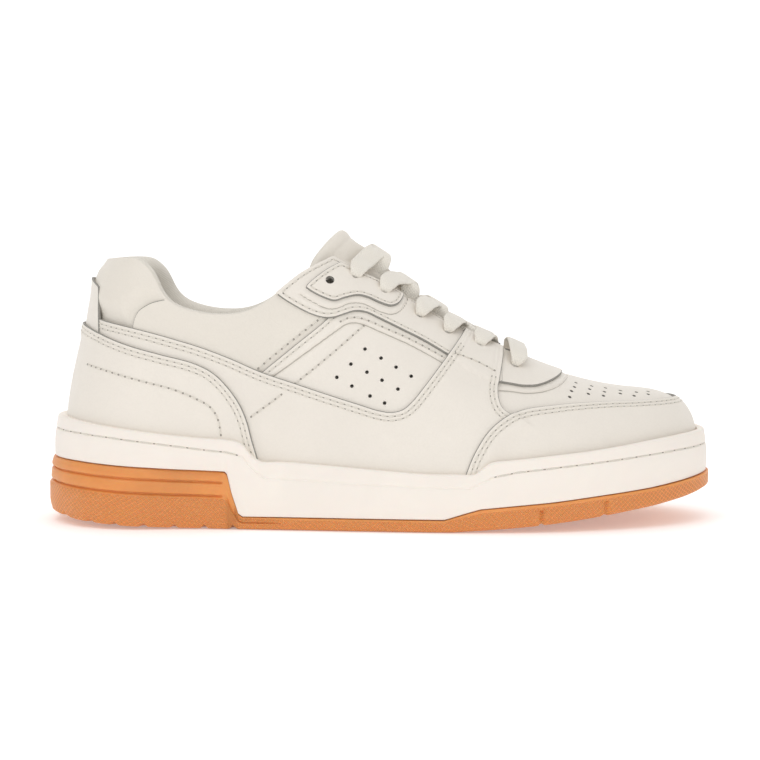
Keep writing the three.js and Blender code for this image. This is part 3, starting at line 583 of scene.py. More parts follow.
HEEL_PAD_FRONT = [
    (-97.9, 70), (-97.6, 76), (-97.2, 81), (-95.4, 85.2), (-92.6, 87.4), (-89.5, 88.9), (-84, 90.2),
    (-78, 91),
]
HEEL_PAD = outline([(-160, 62), (-120, 66)], HEEL_PAD_FRONT, [(-76, 130)], [(-160, 130)])
EYELET_PATCH_LOW = [
    (-29.5, 94), (-26.8, 92.2), (-22.4, 90), (-18.2, 88.7), (-14.3, 89.7), (-9.5, 90.5), (-5.6, 89.6),
    (0, 87.1), (3.8, 86), (6.8, 87), (8.4, 89.5), (9, 93),
]
EYELET_PATCH_TOP = [(-11.5, 104.8), (-16.5, 103.2), (-21.5, 100.8), (-25.5, 98), (-28.8, 95.2)]
EYELET_PATCH = outline(EYELET_PATCH_LOW, [(9.5, 130)], [(-2, 115)], EYELET_PATCH_TOP)
VAMP_CREASE = [
    (46.5, 34.6), (51.7, 33.6), (58.1, 32.4), (65.4, 29), (71.4, 23), (75.2, 13.4), (76.6, 4), (76.7, -3),
]
EYESTAY_CREASE = [
    (-31.5, 91.6), (-26.9, 88.9), (-21.8, 86.4), (-18.6, 85.9), (-15.4, 86.8), (-11.9, 88), (-7.1, 87.8),
    (-3.2, 86), (0.6, 84.3), (4.2, 83.4), (7.4, 84.4), (10, 87.2), (11.2, 91),
]
WINDOW_CREASE = [
    (-45.5, 57.4), (-41.3, 60.4), (-28, 70), (-16.6, 78.2), (-13, 80.5), (-9.5, 80.9), (-6, 80),
    (2, 76.6), (11.1, 72.6), (21.3, 67.2), (26, 64.4),
]
WINDOW_HOLES = [
    (-5.9, 70.7), (0.4, 67.2), (6.3, 63.7), (12.2, 60.2), (-11.4, 64.9), (-5.1, 61.8), (0.8, 58.7),
    (7, 55.3), (-16.9, 59.8), (-11, 56.4), (-3.9, 52.6), (1.8, 49.9),
]
WINDOW_STITCH = [(-6.5, 79.6), (-16.5, 70.9), (-25.9, 63.1), (-33.4, 57.2)]
QUARTER_STITCH = [(-38.5, 52.9), (-44, 48.8), (-50.4, 44.2)]
HEEL_STITCH = [
    (-114.5, 63.4), (-108.2, 61.9), (-99.4, 59.6), (-92.2, 57.7), (-81.5, 54.9), (-73, 51.5), (-66.6, 48),
    (-63.6, 43.6), (-62.3, 37),
]
FRAME_STITCH = [
    (-15.5, 81.3), (-13.4, 82.4), (-9.4, 82.8), (-5.4, 81.8), (2.6, 78.3), (11.8, 74.2), (22, 68.8),
    (26.8, 66),
]
FLAP_STITCH = [(29, 67.4), (35.2, 65), (39.2, 63.2), (44.5, 60.4)]
VAMP_HOLES = [
    (79, 15.1), (78, 20), (76.5, 23.9), (75.4, 27.8), (85.5, 13.7), (84.3, 18), (83.4, 22.3),
    (91.3, 12.1), (90.4, 17), (89.6, 20.7), (97.4, 12), (97, 15.5), (104, 11.2), (102.6, 15.5),
    (109.2, 8.1), (108.8, 11.7),
]


def throat_half(x):
    """Half width of the opening between the lace stays."""
    return (10.2 + 4.8 * smooth((10 - x) / 35)) * end_round(x, THROAT_END - 9, THROAT_END, 2)


# ---------------------------------------------------------------- sole levels, by x
ground_level = levels(
    [
        (-136, 4.5), (-120, 2.6), (-100, 1.2), (-80, 0.4), (-60, 0), (28, 0), (46, 1.2), (62, 2.5),
        (75, 4), (88, 5.7), (108, 8.5), (122, 11), (136, 14),
    ]
)
gum_level = levels(
    [
        (-136, 26.2), (-120, 25.8), (-100, 24.6), (-82, 23.5), (-61, 22.6), (-60, 21.6), (-58.2, 14),
        (-55.6, 6), (-54, 4.9), (25, 4.8), (32, 7), (39, 9), (53, 10.3), (68, 11.6), (87, 13.7),
        (107, 15.7), (122, 17.8), (136, 20),
    ]
)
wall_level = spline(
    [
        (-131, 42.8), (-106, 40), (-86, 37.6), (-67, 35.8), (-57, 34.8), (-53.5, 33.1), (-50.3, 29.3),
        (-47.3, 27.2), (-43, 26.8), (-23, 25.8), (2, 23.9), (22, 22.7), (33, 22.6), (37.2, 23.1),
        (39.8, 25), (42.4, 26.9), (47, 27.9), (63, 29.4), (80, 31), (95, 32.8), (110, 34.8), (124, 36.2),
        (136, 37),
    ]
)
wall_groove = levels(
    [
        (-131, 37.6), (-120, 37.1), (-105.8, 35.9), (-88.6, 33.9), (-67, 31.2), (-60.4, 30.6), (-54, 29),
        (-50, 24), (-45, 20.4), (-23.4, 19.4), (-7.4, 18.5), (15.1, 17.6), (34.5, 17.2), (43.4, 21.7),
        (53.1, 23.6), (69.9, 25.4), (86.7, 27), (102.8, 28.6), (118.4, 30.1), (131.5, 30.9),
    ]
)


def upper_low(p):
    """How far the upper's points lie above its lower edge, which is hidden behind the wall."""
    return p.co[:, 2] - np.maximum(foot_bed(p.co[:, 0]) + 0.6, wall_level(p.co[:, 0]) - 9)


def above_wall(run, margin=-1):
    """Where a run of points lies above the cupsole wall."""
    return run["co"][:, 2] > wall_level(run["co"][:, 0]) + margin


def throat_line(p):
    """Distance from the throat, the opening between the lace stays."""
    x = p.co[:, 0]
    distance = np.abs(p.across) - throat_half(x) + np.maximum(x - THROAT_END, 0)
    return np.where((x > -70) & (x < THROAT_END + 4) & (p.co[:, 2] > 50), distance, FAR)


# ---------------------------------------------------------------- fields of the panels
quarter_end = lambda p: np.where(p.co[:, 0] < -100, np.abs(p.across) - 13.0, FAR)
fields = {
    "collar": inside(COLLAR),
    "toe": inside(TOE, "slant"),
    "throat_overlay": both(inside(THROAT, "top"), throat_line),
    "quarter": both(inside(QUARTER), throat_line, quarter_end, upper_low),
    "heel": both(inside(HEEL), upper_low),
    "eyestay": both(inside(EYESTAY), throat_line, inside(COLLAR)),
    "eyelet_patch": both(inside(EYELET_PATCH), lambda p: throat_line(p) - 2.2),
    "tab": lambda p: np.minimum.reduce(
        [
            20.2 - 0.3 * (p.co[:, 2] - 80) - np.abs(p.across), p.co[:, 2] - 75,
            97.2 - 0.012 * p.across**2 - p.co[:, 2], -100 - p.co[:, 0],
        ]
    ),
}


def lift(p, *names, step=LEATHER, ramp=1.6):
    """Height of what lies under a panel: one step for each named panel, with a soft ramp at its edge."""
    height = np.zeros(len(p.co))
    for name in names:
        height = height + step * smooth((fields[name](p) + ramp) / ramp)
    return height


pad_room = both(
    lambda p: inside(HEEL_PAD)(p) - 1, lambda p: fields["collar"](p) + 1, under(fields["quarter"], -0.5),
    under(fields["heel"], -0.5),
)
pad_bulge = lambda p: 2.4 * smooth(pad_room(p) / 8) ** 0.8
base_height = {
    "vamp": lambda p: 0.0 * p.across,
    "side_panel": lambda p: 0.35 + 0.0 * p.across,
    "collar_panel": lambda p: (
        0.6 * smooth((fields["collar"](p) + 1) / 6) - 0.1 - 0.9 * smooth((inside(WINDOW)(p) + 2.4) / 2.4)
    ),
    "heel_panel": lambda p: pad_bulge(p) - 0.6 + 0.35 * smooth((3 - fields["collar"](p)) / 3),
    "eyestay": lambda p: LEATHER + 0.35 + 0.0 * p.across,
    "throat_overlay": lambda p: LEATHER + 0.12 - LEATHER * smooth((47 - p.co[:, 0]) / 4),
    "quarter": lambda p: LEATHER + 0.3 + lift(p, "eyestay"),
    "heel": lambda p: 2 * LEATHER + 0.5 + lift(p, "tab", step=0.5),
    "toe": lambda p: LEATHER + 0.2 + lift(p, "quarter") * smooth((11 - fields["toe"](p)) / 7),
    "eyelet_patch": lambda p: 2 * LEATHER + 0.35 + 0.0 * p.across,
    "tab": lambda p: LEATHER + 0.8 + 0.02 * np.maximum(p.co[:, 2] - 88, 0) ** 2,
}


# ---------------------------------------------------------------- meshes
def make_object(name, co, faces, materials, face_material=None, angle=38, uv=None, wrap=None):
    """A smooth-shaded object from millimetre points and arrays of triangles or quads.

    uv is one place for each point, and wrap is the length after which it starts again round the piece.
    """
    mesh = bpy.data.meshes.new(name)
    corners = np.concatenate([f.reshape(-1) for f in faces]).astype(np.int32)
    sizes = np.concatenate([np.full(len(f), f.shape[1]) for f in faces])
    starts = np.concatenate([[0], np.cumsum(sizes)[:-1]]).astype(np.int32)
    mesh.vertices.add(len(co))
    mesh.vertices.foreach_set("co", (co * MM).astype(np.float32).ravel())
    mesh.loops.add(len(corners))
    mesh.loops.foreach_set("vertex_index", corners)
    mesh.polygons.add(len(sizes))
    mesh.polygons.foreach_set("loop_start", starts)
    mesh.update(calc_edges=True)
    for material in materials:
        mesh.materials.append(material)
    if face_material is not None:
        mesh.polygons.foreach_set("material_index", face_material.astype(np.int32))
    if uv is not None:
        layer = mesh.uv_layers.new(name="surface")
        uv = uv[corners]
        if wrap is not None:
            farthest = np.repeat(np.maximum.reduceat(uv[:, 0], starts), sizes)
            uv[:, 0] += np.where(farthest - uv[:, 0] > wrap / 2, wrap, 0)
        layer.data.foreach_set("uv", (uv * MM).astype(np.float32).ravel())
    mesh.polygons.foreach_set("use_smooth", np.ones(len(sizes), bool))
    mesh.validate()
    mesh.set_sharp_from_angle(angle=math.radians(angle))
    mesh.update()
    piece = bpy.data.objects.new(name, mesh)
    bpy.context.scene.collection.objects.link(piece)
    return piece


def tubes(centre, across, up, width, height, sides=6):
    """Many short bars at once. centre, across and up are (bars, steps, 3), width and height (bars, steps)."""
    bars, steps = centre.shape[:2]
    size = steps * sides
    turn = np.linspace(0, 2 * np.pi, sides, endpoint=False) + np.pi / sides
    ring = (
        centre[:, :, None]
        + across[:, :, None] * (np.cos(turn)[:, None] * width[..., None, None])
        + up[:, :, None] * (np.sin(turn)[:, None] * height[..., None, None])
    )
    faces = [grid_quads(steps, sides, True), *end_fans(steps, sides)]
    starts = np.arange(bars)[:, None, None] * size
    return ring.reshape(-1, 3), [(starts + group).reshape(-1, group.shape[1]) for group in faces]


def end_fans(steps, sides):
    """Triangles that close the two ends of a tube."""
    fan = np.array([(0, k + 1, k) for k in range(1, sides - 1)])
    return fan, fan[:, ::-1] + (steps - 1) * sides


def resample(points, distances):
    """Points at distances along a run."""
    return along_run(run_lengths(points), points, distances)


def along_run(run, values, distances):
    """Values at distances along a run whose points lie at the given lengths."""
    return np.stack([np.interp(distances, run, values[:, k]) for k in range(values.shape[1])], -1)


def evenly(points, count):
    """A number of points evenly apart along a run, its ends among them."""
    return resample(points, np.linspace(0, run_lengths(points)[-1], count))


def soften(points, times=2):
    """Evens out a run of points, keeping its ends."""
    p = points.copy()
    for _ in range(times):
        p[1:-1] = (p[:-2] + 2 * p[1:-1] + p[2:]) / 4
    return p


class Stitching:
    """Collects runs of stitches and the dark plugs between them, painted shade that stands for the needle
    holes, and makes one object of them.
    """

    def __init__(self):
        self.parts = []

    def run(self, points, normal, pitch=STITCH_PITCH):
        """One row: a thread bar for each stitch and, at each of its ends, a dark plug of painted shade for the
        needle hole.
        """
        points = soften(points)
        run = run_lengths(points)
        count = int(run[-1] / pitch)
        if count < 2:
            return
        step = run[-1] / count
        t = np.linspace(-1, 1, 7)
        at = (np.arange(count)[:, None] + 0.5 + t * 0.37) * step
        up = unit(along_run(run, normal, at))
        centre = along_run(run, points, at)
        across = unit(np.cross(up, unit(np.gradient(centre, axis=1))))
        centre = centre + up * (0.3 * np.sqrt(np.maximum(1 - t**2, 0))[:, None] - 0.06)
        thread = np.broadcast_to(0.27 + 0.02 * np.cos(t * 9), (count, 7))
        self.parts.append((*tubes(centre, across, up, thread, thread * 0.8), 0))
        at = np.arange(count + 1) * step
        up = unit(along_run(run, normal, at))
        middle = along_run(run, points, at)
        side = unit(np.cross(up, unit(np.gradient(middle, axis=0))))
        # Each needle hole is a short dark tube: painted shade, not a real hole.
        pit = middle[:, None] + up[:, None] * np.array([-0.3, 0.06])[None, :, None]
        size = np.broadcast_to(np.array([0.46, 0.4]), (len(middle), 2))
        wide, front = [np.repeat(v[:, None], 2, 1) for v in (side, np.cross(side, up))]
        self.parts.append((*tubes(pit, wide, front, size, size * 1.2), 1))

    def make(self, name, thread, pit):
        co, faces, slots, offset = [], [], [], 0
        for points, groups, slot in self.parts:
            co.append(points)
            for group in groups:
                faces.append(group + offset)
                slots.append(np.full(len(group), slot))
            offset += len(points)
        return make_object(name, np.concatenate(co), faces, [thread, pit], np.concatenate(slots), 60)


def edge_profile(d):
    """Drop of a cut edge: rounded over the last half millimetre."""
    t = np.clip(1 - d / 0.55, 0, 1)
    return -0.42 * (1 - np.sqrt(np.maximum(1 - t**2, 0)))


def shell(patch, outer, inner):
    """Points and faces of a closed sheet between two sets of points of a patch, and the patch's rim."""
    rim = patch.rim()
    count = len(outer)
    walls = np.stack([rim[:, 0], rim[:, 0] + count, rim[:, 1] + count, rim[:, 1]], 1)
    return np.concatenate([outer, inner]), [patch.tri, patch.tri[:, ::-1] + count, walls], rim


def panel(name, node, field, height, looks, crease=None, holes=None, rows=STITCH_ROWS, keep_stitch=None,
          extra_runs=(), thickness=LEATHER):
    """A sheet over the last: cut along its field, draped at a height, with a crease, holes and stitching.

    crease is a line, its depth and its width, and holes are their centres and radius. rows are the distances
    of the stitch rows from the edge, and keep_stitch chooses the part of a row that is sewn.
    """
    patch = base.near(field(base), 2.5)
    close = np.abs(field(patch)) < 2.2
    if crease is not None:
        line, crease_depth, crease_width = crease
        close = close | (line(patch) < 1.6)
    patch = patch.refine(close[patch.tri].any(1))
    if holes is not None:
        centres, radius = holes
        reach = lambda p: np.minimum.reduce([np.linalg.norm(p.co - centre, axis=1) for centre in centres])
        for margin in (2.2, 1.5, 1.0):
            patch = patch.refine((reach(patch) < radius + margin)[patch.tri].any(1))
    patch = patch.clip(field(patch))
    if holes is not None:
        patch = patch.clip(reach(patch) - radius)
    patch.values["d"] = np.maximum(field(patch), 0)
    cuts = [("d", level) for level in (0.1, 0.3, 0.55)]
    cuts += [("d", row + beside) for row in rows for beside in (-0.5, 0, 0.5)]
    if crease is not None:
        patch.values["crease"] = line(patch)
        cuts += [("crease", share * crease_width) for share in (0.4, 1, 1.7)]
    for value, level in cuts:
        patch = patch.split(patch.values[value] - level)[0]

    under = height(patch)
    top = under + edge_profile(patch.d)
    for row in rows:
        top = top - STITCH_GROOVE * bump(patch.d - row, 0.42)
    if crease is not None:
        top = top - crease_depth * bump(patch.crease, crease_width)
    if holes is not None:
        top = top - 0.2 * bump(np.maximum(reach(patch) - radius, 0), 0.3)
    patch.values["outer"] = patch.co + patch.n * top[:, None]
    co, faces, rim = shell(patch, patch.outer, patch.co + patch.n * (under - thickness)[:, None])
    cut = (patch.d[patch.tri].max(1) < 0.31).astype(int)
    # Faces along the bottom of a crease take the third look, a darker leather that is painted shade in the
    # crease.
    if crease is not None:
        cut[patch.crease[patch.tri].max(1) < 0.41 * crease_width] = 2
    turned = fields["collar"](patch) < 1
    cut[turned[patch.tri].any(1)] = 0
    back = np.full(len(patch.tri), len(looks) - 1)
    slots = np.concatenate([cut, back, np.where(turned[rim[:, 0]], 0, 1)])
    piece = make_object(name, co, faces, looks, slots)

    stitching = Stitching()
    for row in rows:
        for run in patch.chains(patch.d - row):
            keep = keep_stitch(run) if keep_stitch else np.ones(len(run["co"]), bool)
            for part in np.split(np.arange(len(keep)), np.flatnonzero(np.diff(keep.astype(int))) + 1):
                if keep[part[0]] and len(part) > 6:
                    stitching.run(run["outer"][part], run["n"][part])
    for run in extra_runs:
        on = points_on(run)
        stitching.run(run + on.n * (height(on) + 0.06)[:, None], on.n)
    place(piece, "shoe", node)
    if stitching.parts:
        place(stitching.make(name + "_stitching", look["thread"], look["needle_hole"]), "shoe")
    return piece


def place(piece, body, node=None):
    """Puts a piece on its body, in place of a node of the frame."""
    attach(piece, body)
    if node is not None:
        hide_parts(node)


# ---------------------------------------------------------------- materials
class Nodes:
    """A short way to write a node material."""

    def __init__(self, name):
        self.material = bpy.data.materials.new(name)
        self.material.use_nodes = True
        self.tree = self.material.node_tree
        self.tree.nodes.clear()
        self.output = self.add("OutputMaterial")

    def add(self, kind, settings=None, **inputs):
        node = self.tree.nodes.new("ShaderNode" + kind)
        for key, value in (settings or {}).items():
            setattr(node, key, value)
        for key, value in inputs.items():
            self.set(node, key, value)
        return node

    def set(self, node, key, value):
        """Sets or links an input, by its name with _ for a space, or by its number after an i."""
        socket = node.inputs[int(key[1:]) if key[0] == "i" and key[1:].isdigit() else key.replace("_", " ")]
        if isinstance(value, bpy.types.NodeSocket):
            self.tree.links.new(value, socket)
        elif isinstance(value, bpy.types.Node):
            self.tree.links.new(value.outputs[0], socket)
        else:
            socket.default_value = value

    def math(self, operation, *values):
        inputs = {"i%d" % k: value for k, value in enumerate(values)}
        return self.add("Math", {"operation": operation}, **inputs).outputs[0]

    def plus(self, a, b, times=None):
        """a + b, or a + b * times."""
        return self.math("ADD", a, b if times is None else self.math("MULTIPLY", b, times))

    def ramp(self, value, *stops):
        """Grey from 0 to 1 that follows a value between stops."""
        node = self.add("ValToRGB", Fac=value)
        elements = node.color_ramp.elements
        while len(elements) < len(stops):
            elements.new(0.5)
        for element, (at, grey) in zip(elements, stops):
            element.position = at
            element.color = (grey, grey, grey, 1)
        return node.outputs[0]

    def mix(self, share, a, b):
        return self.add("MixRGB", Fac=share, Color1=a, Color2=b).outputs[0]

    def coordinates(self, kind="Object"):
        return self.add("TexCoord").outputs[kind]

    def split(self, vector):
        return self.add("SeparateXYZ", Vector=vector).outputs

    def noise(self, scale, detail=4.0, roughness=0.5, distortion=0.0):
        node = self.add("TexNoise", Vector=self.coordinates(), Scale=scale, Detail=detail)
        self.set(node, "Roughness", roughness)
        self.set(node, "Distortion", distortion)
        return node.outputs[0]

    def surface(self, colour, roughness, height, bump_distance, strength, constants=None):
        shader = self.add("BsdfPrincipled", Base_Color=colour, Roughness=roughness)
        for key, value in (constants or {}).items():
            shader.inputs[key].default_value = value
        relief = self.add("Bump", Height=height, Distance=bump_distance, Strength=strength)
        self.set(shader, "Normal", relief)
        self.set(self.output, "Surface", shader)
        return self.material


def linear(red, green, blue):
    """Scene-linear colour of an 8-bit display colour."""
    values = np.array([red, green, blue]) / 255
    values = np.where(values <= 0.04045, values / 12.92, ((values + 0.055) / 1.055) ** 2.4)
    return tuple(float(value) for value in values)


def shade(colour, factor=1.0):
    """A colour made darker or lighter, with its alpha."""
    return (*(c * factor for c in colour), 1)


def leather_look(name, colour, grain=1.0, roughness=0.5):
    """Full-grain leather: pebbled cells, fine pores, soft creases, blotches and a slightly waxy coat."""
    n = Nodes(name)
    vector = n.coordinates()
    cells = n.add("TexVoronoi", {"feature": "SMOOTH_F1"}, Vector=vector, Scale=1150.0, Smoothness=0.35)
    cell = cells.outputs["Distance"]
    fine = n.add("TexVoronoi", {"feature": "F1"}, Vector=vector, Scale=2600.0).outputs["Distance"]
    pores = n.ramp(n.noise(3400, 2, 0.6), (0.3, 0.0), (0.42, 1.0))
    pebble = n.math("MULTIPLY", n.math("SUBTRACT", 0.8, cell), 0.55 * grain)
    height = n.plus(pebble, n.math("SUBTRACT", 0.7, fine), 0.22 * grain)
    height = n.plus(height, n.noise(55, 5, 0.62, 0.6), 1.6)
    height = n.plus(height, pores, 0.15)
    blotch = n.ramp(n.noise(24, 4, 0.55), (0.3, 0.0), (0.72, 1.0))
    seam = n.ramp(cell, (0.35, 0.0), (0.75, 1.0))
    dirt = n.ramp(n.noise(140, 3, 0.5), (0.6, 0.0), (0.8, 1.0))
    red, green, blue = colour
    tone = n.mix(blotch, shade(colour, 0.955), shade(colour))
    tone = n.mix(n.math("MULTIPLY", seam, 0.1), tone, shade(colour, 0.86))
    tone = n.mix(n.math("MULTIPLY", dirt, 0.08), tone, shade((red, green * 0.98, blue * 0.93), 0.9))
    gloss = n.plus(roughness - 0.08, n.noise(90, 4, 0.6), 0.17)
    coat = {"IOR": 1.48, "Coat Weight": 0.06, "Coat Roughness": 0.45}
    return n.surface(tone, gloss, height, 0.00011, 0.55 * grain + 0.25, coat)


def edge_look(name, colour):
    """The raw fibres of a cut leather edge and its flesh side."""
    n = Nodes(name)
    fibres = n.noise(1800, 5, 0.75)
    tone = n.mix(n.ramp(fibres, (0.3, 0.0), (0.7, 1.0)), shade(colour, 0.68), shade(colour, 1.18))
    return n.surface(tone, n.plus(0.8, fibres, 0.15), fibres, 0.0002, 0.8, {"Sheen Weight": 0.15})


def knit_look(name, colour, pitch, uv=False):
    """A close knitted or woven lining: two crossing sets of yarn, fluff and a soft sheen."""
    n = Nodes(name)
    x, y, z = n.split(n.coordinates("UV" if uv else "Object"))
    yarns = (x, y) if uv else (n.plus(x, y, 0.5), n.plus(z, y, -0.8))
    a, b = [n.math("SINE", n.math("MULTIPLY", yarn, 2 * math.pi / pitch)) for yarn in yarns]
    weave = n.plus(0.5, n.math("MULTIPLY", a, b), 0.5)
    fluff = n.noise(2600, 4, 0.7)
    tone = n.mix(weave, shade(colour, 0.93), shade(colour))
    tone = n.mix(n.math("MULTIPLY", n.noise(60, 4, 0.6), 0.2), tone, shade(colour, 0.85))
    sheen = {"Sheen Weight": 0.25, "Sheen Roughness": 0.5}
    return n.surface(tone, n.plus(0.82, fluff, 0.14), n.plus(weave, fluff, 0.5), 0.00022, 0.75, sheen)


def thread_look(name, colour):
    """Bonded thread: a tight twist with a faint sheen."""
    n = Nodes(name)
    wave = n.add("TexWave", {"bands_direction": "DIAGONAL"}, Scale=900.0, Distortion=2.0, Detail=2.0)
    n.set(wave, "Vector", n.coordinates())
    twist = wave.outputs["Fac"]
    tone = n.mix(twist, shade(colour, 0.82), shade(colour))
    return n.surface(tone, n.plus(0.75, twist, -0.15), twist, 0.0001, 0.6, {"Sheen Weight": 0.2})


def painted_hole_shade_look(name):
    """Painted shade for a needle hole: a dark colour that stands for the shadow inside it."""
    n = Nodes(name)
    depth = n.noise(900, 3, 0.6)
    tone = n.mix(depth, (0.27, 0.25, 0.218, 1), (0.42, 0.39, 0.34, 1))
    return n.surface(tone, n.plus(0.8, depth, 0.1), depth, 0.0001, 0.5)


def wall_look(name, colour):
    """Moulded cream rubber: a fine matt texture, flow marks and faint handling marks."""
    n = Nodes(name)
    flow_mark = n.noise(38, 5, 0.6, 1.2)
    tone = n.mix(n.ramp(flow_mark, (0.3, 0.0), (0.75, 1.0)), shade(colour, 0.965), shade(colour))
    scuff = n.ramp(n.noise(260, 6, 0.72, 0.8), (0.62, 0.0), (0.78, 1.0))
    tone = n.mix(n.math("MULTIPLY", scuff, 0.12), tone, shade(colour, 0.84))
    height = n.plus(n.math("MULTIPLY", n.noise(2100, 3, 0.65), 0.5), flow_mark, 0.7)
    rubber = {"IOR": 1.5, "Subsurface Weight": 0.05, "Subsurface Scale": 0.002}
    return n.surface(tone, n.plus(0.5, n.noise(150, 4, 0.6), 0.2), height, 0.00009, 0.55, rubber)


def gum_look(name, colour, pattern=None):
    """Natural gum rubber, slightly see-through, plain or with a diamond or herringbone pattern. The
    herringbone's grooves are painted darker as shade, and the diamond's ridges are painted lighter as
    highlights, with painted shade in the cells between them.
    """
    n = Nodes(name)
    cloud = n.noise(30, 5, 0.6, 1.0)
    height = n.plus(n.math("MULTIPLY", n.noise(1500, 3, 0.6), 0.25), cloud, 0.4)
    tone = n.mix(n.ramp(cloud, (0.3, 0.0), (0.72, 1.0)), shade(colour, 0.84), shade(colour, 1.07))
    if pattern == "herringbone":
        x, y, _ = n.split(n.coordinates())
        zigzag = n.plus(x, n.math("PINGPONG", y, 0.007), 0.9)
        ridge = n.math("SINE", n.math("MULTIPLY", zigzag, 2 * math.pi / 0.005))
        ridge = n.ramp(n.plus(0.5, ridge, 0.5), (0.3, 0.0), (0.55, 1.0))
        height = n.plus(height, ridge, 5.0)
        # Painted shade: the herringbone's grooves are coloured darker.
        tone = n.mix(ridge, shade(colour, 0.6), tone)
    if pattern == "diamond":
        x, y, _ = n.split(n.coordinates("UV"))
        lines = [
            n.math("ABSOLUTE", n.math("SINE", n.math("MULTIPLY", n.math(sign, x, y), DIAMOND)))
            for sign in ("ADD", "SUBTRACT")
        ]
        ridge = n.ramp(n.math("MINIMUM", *lines), (0.05, 1.0), (0.5, 0.0))
        height = n.plus(height, ridge, 2.2)
        # Painted highlight on the diamond's ridge lines, and painted shade in the cells between them.
        tone = n.mix(ridge, shade(colour, 0.86), shade(colour, 1.35))
    rubber = {"IOR": 1.52, "Subsurface Weight": 0.3, "Subsurface Scale": 0.004}
    rubber["Subsurface Radius"] = (1.0, 0.45, 0.15)
    return n.surface(tone, n.plus(0.36, n.noise(120, 4, 0.6), 0.22), height, 0.00022, 0.75, rubber)


WHITE = linear(238, 231, 221)
look = {
    "leather": leather_look("smooth_leather", WHITE),
    "soft_leather": leather_look("soft_leather", linear(233, 226, 215), 1.25, 0.52),
    "edge": edge_look("cut_edge", linear(150, 147, 140)),
    # A darker leather for the bottom of the creases: painted shade in the crease, with some dirt.
    "crease": leather_look("creased_leather", linear(186, 180, 170)),
    "flesh": edge_look("flesh_side", linear(206, 200, 190)),
    "knit": knit_look("lining_knit", linear(234, 228, 217), 0.0009),
    "sock": knit_look("sockliner_fabric", linear(226, 221, 211), 0.0014),
    "lace": knit_look("lace_weave", linear(240, 234, 223), 0.0012, uv=True),
    "thread": thread_look("thread", linear(236, 230, 219)),
    "needle_hole": painted_hole_shade_look("needle_hole"),
    "wall": wall_look("cupsole_rubber", linear(246, 238, 229)),
    "gum": gum_look("gum_rubber", linear(232, 152, 82)),
    "gum_knurl": gum_look("gum_rubber_knurled", linear(232, 149, 83), "diamond"),
    "tread": gum_look("gum_rubber_tread", linear(236, 150, 84), "herringbone"),
    "foam": wall_look("cellular_foam", linear(240, 238, 230)),
    "board": edge_look("fibre_board", linear(205, 196, 176)),
}


# ---------------------------------------------------------------- cloth simulation of the pads
def positions(mesh):
    """A mesh's points in millimetres."""
    co = np.empty(3 * len(mesh.vertices))
    mesh.vertices.foreach_get("co", co)
    return co.reshape(-1, 3) / MM


def surface_tree(co):
    """A search tree of points."""
    tree = KDTree(len(co))
    for number, point in enumerate(co):
        tree.insert(point, number)
    tree.balance()
    return tree


def cloth_swell(name, co, faces, sewn):
    """Swells a closed pad as cloth under pressure, held where it is sewn down.

    Returns a function of points and their normals that gives the swell there in millimetres.
    """
    pad = make_object(name, co, faces, [])
    remesh = pad.modifiers.new("remesh", "REMESH")
    remesh.mode = "VOXEL"
    remesh.voxel_size = CLOTH["voxel"] * MM
    mesh = bpy.data.meshes.new_from_object(pad.evaluated_get(bpy.context.evaluated_depsgraph_get()))
    pad.modifiers.clear()
    pad.data = mesh
    start = positions(mesh)
    group = pad.vertex_groups.new(name="sewn")
    group.add(np.flatnonzero(sewn(start)).tolist(), 1.0, "REPLACE")
    cloth = pad.modifiers.new("cloth", "CLOTH")
    cloth.settings.use_pressure = True
    cloth.settings.uniform_pressure_force = CLOTH["pressure"]
    cloth.settings.effector_weights.gravity = 0
    cloth.settings.tension_stiffness = CLOTH["stiffness"]
    cloth.settings.compression_stiffness = CLOTH["stiffness"]
    cloth.settings.vertex_group_mass = "sewn"
    for number in range(CLOTH["frames"]):
        bpy.context.scene.frame_set(number + 1)
    moved = positions(pad.evaluated_get(bpy.context.evaluated_depsgraph_get()).data) - start
    moved *= (CLOTH["most"] / np.maximum(np.linalg.norm(moved, axis=1), CLOTH["most"]))[:, None]
    bpy.data.objects.remove(pad)
    bpy.context.scene.frame_set(1)
    tree = surface_tree(start)

    def swell(points, normals):
        result = np.zeros(len(points))
        for k, (point, normal) in enumerate(zip(points, normals)):
            near = tree.find_n(point, CLOTH["neighbours"])
            outward = moved[[index for _, index, _ in near]] @ normal
            weight = (outward >= 0) / (0.5 + np.array([distance for _, _, distance in near])) ** 2
            result[k] = (outward * weight).sum() / max(weight.sum(), 1e-9)
        return result

    return swell


# ---------------------------------------------------------------- upper
base = last_patch()
base_tree = surface_tree(base.co)
# The third look of each list is the darker creased leather, painted shade for the creases.
leather, soft_leather = [
    [look[front], look["edge"], look["crease"], look["flesh"]] for front in ("leather", "soft_leather")
]


def eyelet_centres(side, rows):
    """Centres of eyelets; the ankle row of the medial side lies nearer to the throat."""
    closer = lambda k: 3.2 if k == 0 and side > 0 else 0
    return np.vstack([top_point(EYELETS[k][0], EYELETS[k][1] - closer(k), side) for k in rows])


def drawn_side(line, side):
    """A side drawing's smooth line as points on the last."""
    p = flow(line)
    return side_point(p[:, 0], p[:, 1], side)


def make_vamp():
    holes = np.vstack([top_point(x, across, side) for x, across in VAMP_HOLES for side in SIDES.values()])
    field = both(
        ahead(40), under(fields["toe"], 9), under(fields["throat_overlay"], 7), under(fields["quarter"], 9),
        throat_line, upper_low,
    )
    crease = (off(flow(VAMP_CREASE), "top"), 0.7, 0.65)
    panel("vamp_leather", "vamp", field, base_height["vamp"], leather, crease, (holes, HOLE_RADIUS), rows=())


def make_toe_overlay():
    field = both(fields["toe"], upper_low)
    panel("toe_overlay_leather", "toe_overlay", field, base_height["toe"], leather, keep_stitch=above_wall)


